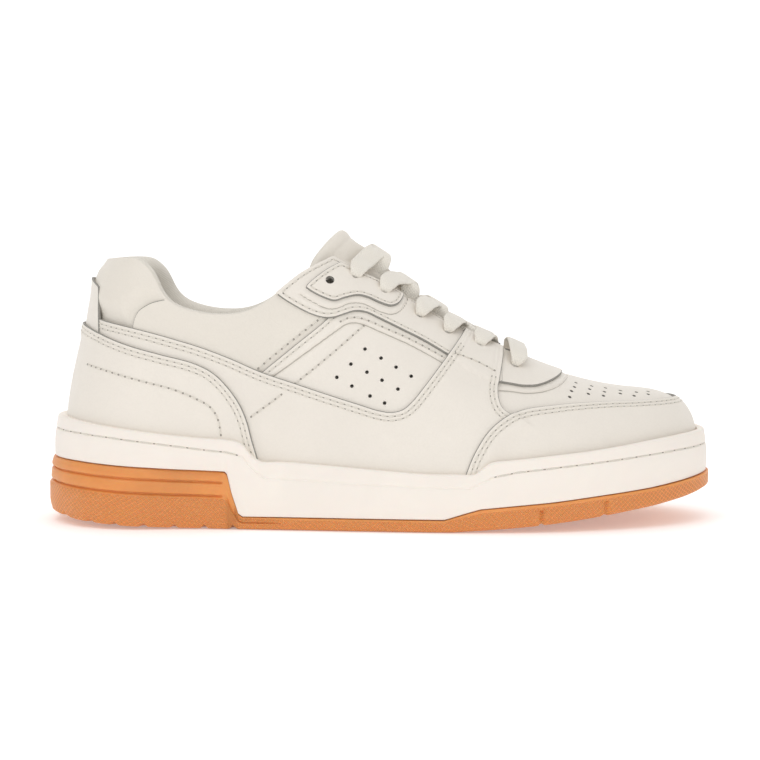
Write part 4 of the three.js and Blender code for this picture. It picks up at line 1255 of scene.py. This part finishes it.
def make_throat_overlay():
    centres = np.vstack([eyelet_centres(side, (6,)) for side in SIDES.values()])
    panel(
        "throat_overlay_leather", "throat_overlay", both(fields["throat_overlay"], ahead(42)),
        base_height["throat_overlay"], leather, holes=(centres, EYELET_RADIUS), rows=(),
    )


def heel_pad_swell():
    """How far the padded heel panel swells, from a cloth simulation of its pad."""
    patch = base.near(pad_room(base), 2.5)
    patch = patch.clip(pad_room(patch))
    co, faces, _ = shell(patch, patch.co + 0.3 * patch.n, patch.co - 4.5 * patch.n)
    return cloth_swell("heel_pad_cloth", co, faces, lambda points: pad_room(points_on(points)) < 2.5)


def make_heel():
    runs = [drawn_side(HEEL_STITCH, side) for side in SIDES.values()]
    panel(
        "heel_overlay_leather", "heel_overlay", fields["heel"], base_height["heel"], leather,
        keep_stitch=above_wall, extra_runs=runs,
    )
    field = both(lambda p: inside(HEEL_PAD)(p) + 4, fields["collar"], under(inside(HEEL), 9))
    swell = heel_pad_swell()
    height = lambda p: base_height["heel_panel"](p) + swell(p.co, p.n) * smooth((pad_room(p) + 1) / 4)
    piece = panel("heel_panel_padded", "heel_panel", field, height, soft_leather, rows=())
    panel("back_tab_leather", "back_tab", fields["tab"], base_height["tab"], leather, rows=())


def make_side(name, side):
    """The five panels of one side: quarter, eyestay, eyelet patch, side panel and collar panel."""

    def seen(run):
        on = Patch(None, run)
        clear = (inside(HEEL)(on) < 1) & (fields["toe"](on) < 1) & (fields["throat_overlay"](on) < 1)
        return clear & above_wall(run, 1)

    own = lambda p: side * p.across
    eyelets = lambda rows: (eyelet_centres(side, rows), EYELET_RADIUS)

    field = both(own, fields["quarter"], under(fields["toe"], 10), under(inside(HEEL), 12))
    runs = [drawn_side(line, side) for line in (FLAP_STITCH, QUARTER_STITCH)]
    panel(
        name + "_quarter_leather", name + "_quarter", field, base_height["quarter"], leather,
        holes=eyelets((5,)), keep_stitch=seen, extra_runs=runs,
    )

    field = both(own, fields["eyestay"], behind(48))
    panel(
        name + "_eyestay_leather", name + "_eyestay", field, base_height["eyestay"], leather,
        (off(flow(EYESTAY_CREASE)), 0.6, 0.6), eyelets(range(6)), (1.7,), lambda run: run["co"][:, 0] < 42,
    )

    panel(
        name + "_eyelet_patch", name + "_eyelet_overlay", both(own, fields["eyelet_patch"]),
        base_height["eyelet_patch"], leather, holes=eyelets(range(3)), rows=(1.5,),
    )

    field = both(
        own, inside(WINDOW), throat_line, under(fields["eyestay"], 7), under(inside(QUARTER), 8), behind(43),
    )
    holes = (side_point(*np.array(WINDOW_HOLES).T, side), HOLE_RADIUS)
    left = lambda run: (run["co"][:, 0] < -18) & (run["co"][:, 2] > 60)
    runs = [drawn_side(line, side) for line in (WINDOW_STITCH, FRAME_STITCH)]
    panel(
        name + "_side_panel_leather", name + "_side_panel", field, base_height["side_panel"], leather,
        (off(flow(WINDOW_CREASE)), 0.7, 0.65), holes, (1.7,), left, runs,
    )

    field = both(
        own, fields["collar"], under(inside(HEEL_PAD)), under(inside(WINDOW), 8), behind(-4),
        under(fields["eyestay"], 8), under(inside(QUARTER), 8),
    )
    panel(
        name + "_collar_panel_leather", name + "_collar_panel", field, base_height["collar_panel"],
        soft_leather, rows=(), extra_runs=[drawn_side(WINDOW_LEFT_STITCH, side)],
    )


# ---------------------------------------------------------------- lining and padding
def collar_pad(p):
    """How thick the collar is padded, from 0 to 1."""
    d = fields["collar"](p)
    return smooth((30 - d) / 22) * smooth((-24 - p.co[:, 0]) / 22)


def lining_depth(p):
    """Depth of the lining below the last's surface."""
    return LINING_DEPTH + 4.6 * collar_pad(p)


def make_lining():
    seam = lambda p: p.co[:, 0] - 2 - 0.14 * (80 - p.co[:, 2])
    room = both(lambda p: throat_line(p) - 2, lambda p: p.co[:, 2] - foot_bed(p.co[:, 0]) - 1.2)
    below_roll = lambda p: fields["collar"](p) - 1.5 - 4 * collar_pad(p)
    linings = {"collar": both(room, below_roll, under(seam)), "vamp": both(room, seam)}
    for name, field in linings.items():
        panel(
            name + "_lining_knit", name + "_lining", field, lambda p: -lining_depth(p), [look["knit"]] * 2,
            rows=(), thickness=0.9,
        )


COLLAR_ROLL = [
    (-2.4, -7.2), (-1.35, -6.4), (-1.2, -4.2), (-1.15, -2.0), (-1.25, -0.9), (-2.0, 0.2), (-3.6, 0.75),
    (-5.4, 0.3), (-7.1, -0.9), (-8.4, -2.8), (-9.2, -5.2), (-9.6, -8.2), (-8.7, -8.8), (-7.6, -5.6),
    (-5.6, -3.6), (-3.6, -4.2),
]


def sweep(run, up, out, scale):
    """Points and faces of the collar roll along a run of points, with one scale for each point."""
    shape = flow(np.array([*COLLAR_ROLL, COLLAR_ROLL[0]]), 0.6)[:-1]
    a = -1.2 + (shape[:, 0] + 1.2) * scale[:, None]
    b = shape[:, 1] * (0.45 + 0.55 * scale[:, None])
    co = run[:, None] + out[:, None] * a[..., None] + up[:, None] * b[..., None]
    steps, sides = co.shape[:2]
    middle = co.mean(1)
    points = np.concatenate([co.reshape(-1, 3), middle[:1], middle[-1:]])
    k = np.arange(sides)
    after = (k + 1) % sides
    end = (steps - 1) * sides
    first = np.stack([np.full(sides, end + sides), after, k], 1)
    last = np.stack([np.full(sides, end + sides + 1), k + end, after + end], 1)
    return points, [grid_quads(steps, sides, True), first, last]


def make_collar_roll():
    patch = base.near(fields["collar"](base), 4)
    runs = patch.chains(fields["collar"](patch))
    ring = max(runs, key=lambda run: len(run["co"]))["co"]
    ring = np.roll(ring, -np.argmax(ring[:, 0]), axis=0)
    points = soften(ring[ring[:, 0] < -24], 12)
    points = soften(evenly(points, int(run_lengths(points)[-1] / 1.2)), 3)
    on = points_on(points)
    up = unit(np.cross(on.n, unit(np.gradient(points, axis=0))))
    up = up * np.sign(up[:, 2:3].sum())
    scale = 0.3 + 0.7 * smooth((-26 - points[:, 0]) / 22)
    piece = make_object("collar_roll", *sweep(points, up, on.n, scale), [look["knit"]], angle=60)
    place(piece, "shoe", "collar_padding")


# ---------------------------------------------------------------- tongue
tongue_rise = spline(
    [
        (-12, 9.5), (-5, 7.6), (0, 6), (10, 3.8), (20, 2.6), (30, 1.2), (40, 0), (48, -2.5), (58, -4.2),
    ]
)
TONGUE_X = [57, 50, 42, 34, 26, 18, 10, 2, -5]
TONGUE_TOP = [
    [(-9.2, 0, 113), (-9.8, 5, 111.4), (-13, 10, 106.3), (-17, 14.6, 98.5), (-19, 19, 91)],
    [(-14.2, 0, 119), (-16.6, 7, 117), (-21.4, 12.4, 112), (-26.4, 16, 105.4), (-28.8, 19, 98)],
]


def grid_through(rows, down, over):
    """A smooth grid through rows of points: down rows, over columns."""
    rows = np.array(rows, float)
    tall = np.stack([evenly(flow(rows[:, k], 0.5), down) for k in range(rows.shape[1])], 1)
    return np.stack([evenly(flow(row, 0.5), over) for row in tall])


def tongue_grid(down, over):
    """The tongue's middle surface: flat under the lace stays, arched between them, and drawn at its top."""
    share = np.linspace(-1, 1, 9)
    rows = []
    for x in TONGUE_X:
        row = []
        for t in share:
            p = points_on(top_point(x, abs(t) * 25, -1 if t < 0 else 1))
            middle = 1 - smooth((abs(t) - 0.1) * 2.9)
            row.append(p.co[0] + p.n[0] * (-4.6 + (tongue_rise(x) + 4.6) * middle))
        rows.append(row)
    for edge in TONGUE_TOP:
        row = []
        for k in range(-4, 5):
            x, y, z = edge[abs(k)]
            row.append((x, centre_line(x) + np.sign(k) * y, z))
        rows.append(row)
    return grid_through(rows, down, over)


def slab_mesh(grid, n, top, bottom):
    """The points and faces of a sheet over a grid, between two heights."""
    down, over = grid.shape[:2]
    size = down * over
    co = np.concatenate([(grid + n * height[..., None]).reshape(-1, 3) for height in (top, bottom)])
    quads = grid_quads(down, over)[:, [0, 3, 2, 1]]
    border = np.concatenate(
        [
            np.arange(over - 1), np.arange(over - 1, size - 1, over),
            np.arange(size - 1, size - over, -1), np.arange(size - over, 0, -over),
        ]
    )
    after = np.roll(border, -1)
    walls = np.stack([border, after, after + size, border + size], 1)
    return co, [quads, quads[:, ::-1] + size, walls]


def make_tongue():
    down, over = 120, 64
    grid = tongue_grid(down, over)
    n = unit(np.cross(np.gradient(grid, axis=0), np.gradient(grid, axis=1)))
    n = n * np.sign(n[down // 2, over // 2, 2])
    for _ in range(60):
        n[:, 1:-1] = (n[:, :-2] + 2 * n[:, 1:-1] + n[:, 2:]) / 4
    n = unit(n)
    to_top = run_lengths(grid[::-1])[::-1]
    left = run_lengths(grid, 1)
    edge = np.minimum(np.minimum(left, left[:, -1:] - left), to_top)
    rounding = 1 - np.sqrt(1 - (1 - np.clip(edge / 3.6, 0, 1)) ** 2)
    seam = bump(edge - 5.2, 0.6)
    crown = 0.5 * smooth((edge - 5) / 6)
    outer = TONGUE_SKINS["outer"] + crown - 1.9 * rounding - 0.22 * seam
    inner = TONGUE_SKINS["inner"] + 2.2 * rounding + 0.11 * seam
    middle = np.full_like(outer, TONGUE_SKINS["middle"])

    spots = grid.reshape(-1, 3)
    margin = edge.reshape(-1)
    nearest = lambda points: np.array([np.argmin(((spots - point) ** 2).sum(1)) for point in points])
    pad = slab_mesh(grid, n, np.full_like(outer, TONGUE_SKINS["outer"]), np.full_like(outer, -5.2))
    swell = cloth_swell("tongue_cloth", *pad, lambda points: margin[nearest(points)] < 5.5)
    outer = outer + swell(spots, n.reshape(-1, 3)).reshape(down, over) * smooth((edge - 5) / 3)

    def slab(name, node, top, bottom, material):
        piece = make_object(name, *slab_mesh(grid, n, top, bottom), [material], angle=50)
        place(piece, "tongue", node)
        return piece

    piece = slab("tongue_padded", "tongue", outer, middle, look["soft_leather"])
    slab("tongue_lining_knit", "tongue_lining", middle - 0.15, inner, look["knit"])


# ---------------------------------------------------------------- lace
def lace_half(first_side):
    """Way-points (point, normal, width, thickness) of half of the lace, from the front bar to the ankle."""
    route = []

    def put(x, across, side, height, bunched=0.0):
        p = points_on(top_point(x, across, side))
        size = [LACE[key] * (1 - bunched) + LACE_BUNCHED[key] * bunched for key in ("width", "thick")]
        route.append(np.concatenate([p.co[0] + p.n[0] * height, p.n[0], size]))

    over, under = LACE["over"], LACE["under"]
    side = first_side
    on_top = 0.84 if first_side < 0 else 0
    last = len(EYELETS) - 1
    put(EYELETS[last][0], 0, side, over + 0.9)
    for row in range(last, 0, -1):
        x, across = EYELETS[row]
        front = row == last
        put(x + (0 if front else 2.2), across - 7.5, side, over + (0.9 if front else 0.5))
        put(x + 0.3, across - 2.2, side, over + 0.2, 0.1)
        put(x, across + 0.2, side, over - 1.3, 0.55)
        put(x, across, side, 0.5, 1)
        put(x, across, side, LACE["through"], 1)
        if row == 1:
            put(x - 1.5, across + 3.5, side, under - 0.4, 1)
            break
        middle = (x + EYELETS[row - 1][0]) / 2
        edge = throat_half(min(x, 46.0))
        back = 7 if front else 0
        rise = tongue_rise(middle)
        put(x - 0.5, across - 2.5, side, under, 1)
        put(x - back - 1.5, edge + 2, side, under, 0.2)
        put(x - back - 2.2, edge - 0.4, side, under + 0.1)
        put(x - back - 3, edge - 3.2, side, under + 2.3)
        put(middle + 1.5, 4.5, side, rise * 0.86 + LACE["cross"])
        put(middle, 0, side, rise + LACE["cross"] + on_top)
        put(middle - 1.5, 4.5, -side, rise * 0.86 + LACE["cross"] + 0.5)
        side = -side
    return np.array(route)


def ribbon(name, route):
    """The flat woven lace along its way-points."""
    line = flow(route[:, :3], 0.5)
    run = run_lengths(line)
    marks = [run[np.argmin(np.linalg.norm(line - point, axis=1))] for point in route[:, :3]]
    marks = np.maximum.accumulate(np.array(marks) + np.arange(len(marks)) * 1e-6)
    places = np.arange(0, run[-1], 0.7)
    centre = soften(resample(line, places), 2)
    n, width, thick = np.split(along_run(marks, route[:, 3:], places), [3, 4], axis=1)
    n = unit(n)
    along = unit(np.gradient(centre, axis=0))
    forward = np.array([1.0, 0, 0]) - n * n[:, :1]
    across = unit(forward - along * (forward * along).sum(1, keepdims=True))
    for k in range(1, len(across)):
        if (across[k] * across[k - 1]).sum() < 0:
            across[k] = -across[k]
    across = unit(soften(across, 6))
    flat = unit(np.cross(across, along))
    steps, sides = len(centre), 16
    turn = np.linspace(0, 2 * np.pi, sides, endpoint=False)
    c, s = np.cos(turn), np.sin(turn)
    wide = np.sign(c) * np.abs(c) ** 0.55 * width / 2
    high = np.sign(s) * np.abs(s) ** 0.7 * thick / 2 * (1 + 0.25 * np.abs(c) ** 6)
    co = centre[:, None] + across[:, None] * wide[..., None] + flat[:, None] * high[..., None]
    uv = np.stack([np.repeat(places, sides), wide.reshape(-1)], 1)
    faces = [grid_quads(steps, sides, True), *end_fans(steps, sides)]
    return make_object(name, co.reshape(-1, 3), faces, [look["lace"]], angle=60, uv=uv)


def make_laces():
    for name, side in SIDES.items():
        place(ribbon("lace_from_" + name, lace_half(side)), "shoe", "lace")


# ---------------------------------------------------------------- sole
def sole_columns():
    """Spine points, outline points and outward directions round the foot, closer together at the steps."""
    heel, toe = SPINE
    fine = [c + np.linspace(-1.8, 1.8, 13) for c in (*HEEL_NOTCHES, *FLEX_GROOVES) if heel + 2 < c < toe - 2]
    xs = np.unique(np.concatenate([np.linspace(heel, toe, 161)[:-1], np.linspace(-66, -50, 50), *fine]))
    turns = half_turn(220)
    quarter = np.pi / 2
    x = np.concatenate([xs, np.full(len(turns), toe), [toe], xs[:0:-1], np.full(len(turns), heel)])
    angle = np.concatenate(
        [np.full(len(xs), -quarter), turns - quarter, np.full(len(xs), quarter), turns + quarter]
    )
    spine = np.stack([x, centre_line(x), foot_bed(x)], 1)
    edge = cast(spine, np.stack([np.cos(angle), np.sin(angle), np.zeros_like(angle)], 1))
    step = np.roll(edge, -1, axis=0) - np.roll(edge, 1, axis=0)
    return spine, edge, unit(np.stack([step[:, 1], -step[:, 0], np.zeros(len(step))], 1))


spine, edge_line, edge_out = sole_columns()
edge_run = run_lengths(edge_line)
heel_share = smooth((-36 - edge_line[:, 0]) / 8)
heel_flare = smooth((-70 - edge_line[:, 0]) / 45)


def at_rim(distance, level, rise=0.0):
    """Points at a distance outside the outline, at a level that is a function of x or an array."""
    p = edge_line + edge_out * np.broadcast_to(distance, len(edge_line))[:, None]
    p[:, 2] = (level(p[:, 0]) if callable(level) else level) + rise
    return p


def toward_spine(share, level, rise=0.0):
    """Points a share of the way from the spine to the outline."""
    p = spine + (edge_line - spine) * share
    p[:, 2] = level(p[:, 0]) + rise
    return p


def gum_top(x):
    """Top of the gum outsole's rim."""
    return np.maximum(gum_level(x), ground_level(x) + 4)


def sole_loops(name, rings, looks, slots=None):
    """A closed solid of rings round the foot, each an array of one point per column.

    slots gives the look of each face, by column and band.
    """
    co = np.stack(rings, 1)
    columns, count = co.shape[:2]
    quads = grid_quads(columns + 1, count) % (columns * count)
    uv = np.stack([np.repeat(edge_run, count), run_lengths(co, 1).reshape(-1)], 1)
    girth = edge_run[-1] + np.linalg.norm(edge_line[0] - edge_line[-1])
    face_material = None if slots is None else slots.reshape(-1)
    return make_object(name, co.reshape(-1, 3), [quads], looks, face_material, uv=uv, wrap=girth)


def make_cupsole():
    """The rubber wall with its floor, and the stitches in its groove."""
    x = edge_line[:, 0]
    inner = 1.9 + 1.5 * heel_share
    lip = inner - 1.0 - 0.9 * heel_share
    low_out = 4.8 + 2 * heel_flare
    seat = np.maximum(foot_bed(x) - 0.3, gum_level(x) + 1.5)
    over_gum = lambda at: gum_top(at) + 0.3
    top = wall_level(at_rim(inner + 2, wall_level)[:, 0])
    bottom = over_gum(at_rim(low_out, over_gum)[:, 0])
    line = wall_groove(at_rim(inner + 3, wall_groove)[:, 0])
    sewn = smooth((-54 - x) / 3) + smooth((x - 42) / 3)
    depth = 0.75 * sewn + 0.3 * (1 - sewn)

    def outer(z, drop=0.0):
        """The wall's outer face at a height, sunk by drop: it spreads downwards and bulges a little."""
        share = np.clip((top - 1.2 - z) / (top - 1.2 - bottom), 0, 1)
        return at_rim(inner + 2.1 + (low_out - inner - 2.1) * share + 0.5 * np.sin(np.pi * share) - drop, z)

    rings = [
        toward_spine(0.0, ground_level, 5.9), toward_spine(0.55, ground_level, 5.9),
        at_rim(-1.5, ground_level, 5.9), at_rim(-1.5, seat), at_rim(lip, seat), at_rim(lip, top - 1.0),
        at_rim(lip + 0.15, top - 0.3), at_rim(lip + 0.6, top), at_rim(inner + 1.1, top + 0.12),
        at_rim(inner + 1.75, top - 0.12), at_rim(inner + 2.05, top - 0.6), outer(top - 1.2),
    ]
    start = line - 0.9
    rings += [outer(top - 1.2 + (line + 0.9 - top + 1.2) * share) for share in (0.33, 0.66)]
    rings += [outer(line + above, depth * share) for above, share in GROOVE]
    rings += [outer(start + (bottom + 0.5 - start) * share) for share in (0.2, 0.4, 0.6, 0.8, 0.93)]
    rings += [outer(bottom + 0.25, 0.08), outer(bottom, 0.45), at_rim(1.1, over_gum)]
    rings += [at_rim(1.1, ground_level, 3.9)]
    rings += [toward_spine(share, ground_level, 3.9) for share in (0.55, 0.0)]
    place(sole_loops("cupsole_wall", rings, [look["wall"]]), "shoe", "cupsole")

    stitching = Stitching()
    seam = outer(line, depth - 0.15)
    for keep in (x < -55.5, x > 44):
        index = np.flatnonzero(keep)
        jump = np.flatnonzero(np.diff(index) > 1)
        order = np.concatenate([index[jump[0] + 1 :], index[: jump[0] + 1]]) if len(jump) else index
        stitching.run(seam[order], edge_out[order], WALL_STITCH_PITCH)
    place(stitching.make("cupsole_stitching", look["thread"], look["needle_hole"]), "shoe")


def make_outsole():
    """The gum outsole: ribs and knurling on the heel block, notches, and grooves under the toes."""
    x = edge_line[:, 0]
    outer = 5 + 4 * heel_flare + 0.8 * smooth((x - 90) / 40)
    notch = sum(bump(x - c, 1.0) for c in HEEL_NOTCHES)
    flex = sum(bump(x - c, 0.8) for c in FLEX_GROOVES)
    nick = notch + flex
    ribbed = smooth((-61 - x) / 2)

    def side(share, drop=0.0, bulge=0.0):
        """The gum's side at a share of its height, sunk by drop in the heel block's ribs."""
        stepped = min(drop, 0.9) * heel_share + max(drop - 0.9, 0) * ribbed
        p = at_rim(outer - stepped - bulge - 1.1 * flex * (share < 0.75), ground_level)
        p[:, 2] = ground_level(p[:, 0]) + share * (gum_level(p[:, 0]) - ground_level(p[:, 0]))
        return p

    rings = [
        toward_spine(0.0, ground_level, 3.6), toward_spine(0.55, ground_level, 3.6),
        at_rim(1.4, ground_level, 3.6), at_rim(1.4, gum_top), at_rim(outer - 2.2 * heel_share - 0.5, gum_top),
        side(0.985, 1.7, 0.12), side(0.96, 1.5),
    ]
    rings += [side(share, drop) for share, drop in RIBS]
    first_knurled = len(rings) - 1
    rings += [side(share) for share in (0.5, 0.42, 0.34, 0.26, 0.2)]
    rings += [
        at_rim(outer - 0.25 - 1.1 * flex, side(0.12)[:, 2] + 0.5 * notch),
        at_rim(outer - 0.8 - flex, ground_level, 0.55 + 1.2 * nick),
        at_rim(outer - 1.6, ground_level, 0.15 + 1.4 * nick), at_rim(outer - 2.6, ground_level, 1.4 * nick),
        at_rim(outer - 7, ground_level, 1.2 * flex),
    ]
    first_tread = len(rings) - 1
    rings += [toward_spine(share, ground_level) for share in (0.9, 0.55, 0.0)]
    band = np.arange(len(rings) - 1)
    slots = np.tile(np.where(band < first_knurled, 0, np.where(band < first_tread, 1, 2)), (len(x), 1))
    slots[(x[:, None] > -57) & (band > 6) & (band < first_tread)] = 1
    piece = sole_loops("outsole_gum", rings, [look["gum"], look["gum_knurl"], look["tread"]], slots)
    place(piece, "shoe", "outsole")


def make_sockliner():
    rings = [toward_spine(share, foot_bed, 4.6) for share in (0.0, 0.25, 0.5, 0.7)]
    rings += [at_rim(-6.6 - inset, foot_bed, height) for inset, height in SOCKLINER_RIM]
    rings += [toward_spine(share, foot_bed, 0.7) for share in (0.5, 0.0)]
    place(sole_loops("sockliner_fabric", rings, [look["sock"]]), "sockliner", "sockliner")


# ---------------------------------------------------------------- stage
def make_stage():
    """A white floor that bends up into a back wall and glows a little."""
    n = Nodes("studio_floor")
    grain = n.noise(12, 5, 0.6)
    tone = n.mix(grain, (0.94, 0.94, 0.94, 1), (0.975, 0.975, 0.975, 1))
    glow = {"Emission Color": (1, 1, 1, 1), "Emission Strength": 0.25}
    material = n.surface(tone, n.plus(0.7, grain, 0.1), grain, 0.00005, 0.2, glow)
    half, back, radius = FLOOR["half"], FLOOR["back"], FLOOR["radius"]
    turn = np.linspace(0, np.pi / 2, 16)
    bend = zip(back - radius + radius * np.sin(turn), radius - radius * np.cos(turn))
    profile = [(-half, 0.0), (back - radius, 0.0), *bend, (back, FLOOR["height"])]
    co = np.array([(x, y, z - FLOOR["drop"]) for y, z in profile for x in (-half, half)])
    k = 2 * np.arange(len(profile) - 1)
    make_object("floor", co, [np.stack([k, k + 1, k + 3, k + 2], 1)], [material], angle=60)


def area_light(name, location, target, size, power, colour):
    data = bpy.data.lights.new(name, "AREA")
    data.shape = "RECTANGLE"
    data.size, data.size_y = size
    data.energy = power
    data.color = colour
    lamp = bpy.data.objects.new(name, data)
    lamp.location = location
    lamp.rotation_euler = (Vector(target) - Vector(location)).to_track_quat("-Z", "Y").to_euler()
    bpy.context.scene.collection.objects.link(lamp)


def make_lights():
    world = bpy.data.worlds.new("studio")
    world.use_nodes = True
    background = world.node_tree.nodes["Background"]
    background.inputs["Color"].default_value = (1, 1, 1, 1)
    background.inputs["Strength"].default_value = WORLD_STRENGTH
    bpy.context.scene.world = world
    bpy.context.scene.view_settings.view_transform = "Standard"
    for name, settings in LIGHTS.items():
        area_light(name, *settings)


def make_camera():
    data = bpy.data.cameras.new("camera")
    data.sensor_width = CAMERA["sensor"]
    data.lens = CAMERA["lens"]
    camera = bpy.data.objects.new("camera", data)
    camera.location = CAMERA["place"]
    camera.rotation_euler = (math.radians(90 - CAMERA["tilt"]), 0, 0)
    bpy.context.scene.collection.objects.link(camera)
    bpy.context.scene.camera = camera


make_camera()
make_lights()
make_stage()
make_laces()
make_outsole()
make_cupsole()
make_sockliner()
make_vamp()
make_toe_overlay()
make_throat_overlay()
make_heel()
for side_name, side_sign in SIDES.items():
    make_side(side_name, side_sign)
make_lining()
make_collar_roll()
make_tongue()
for node, name in HIDDEN_PIECES.items():
    for material_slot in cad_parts[node].material_slots:
        material_slot.material = look[name]
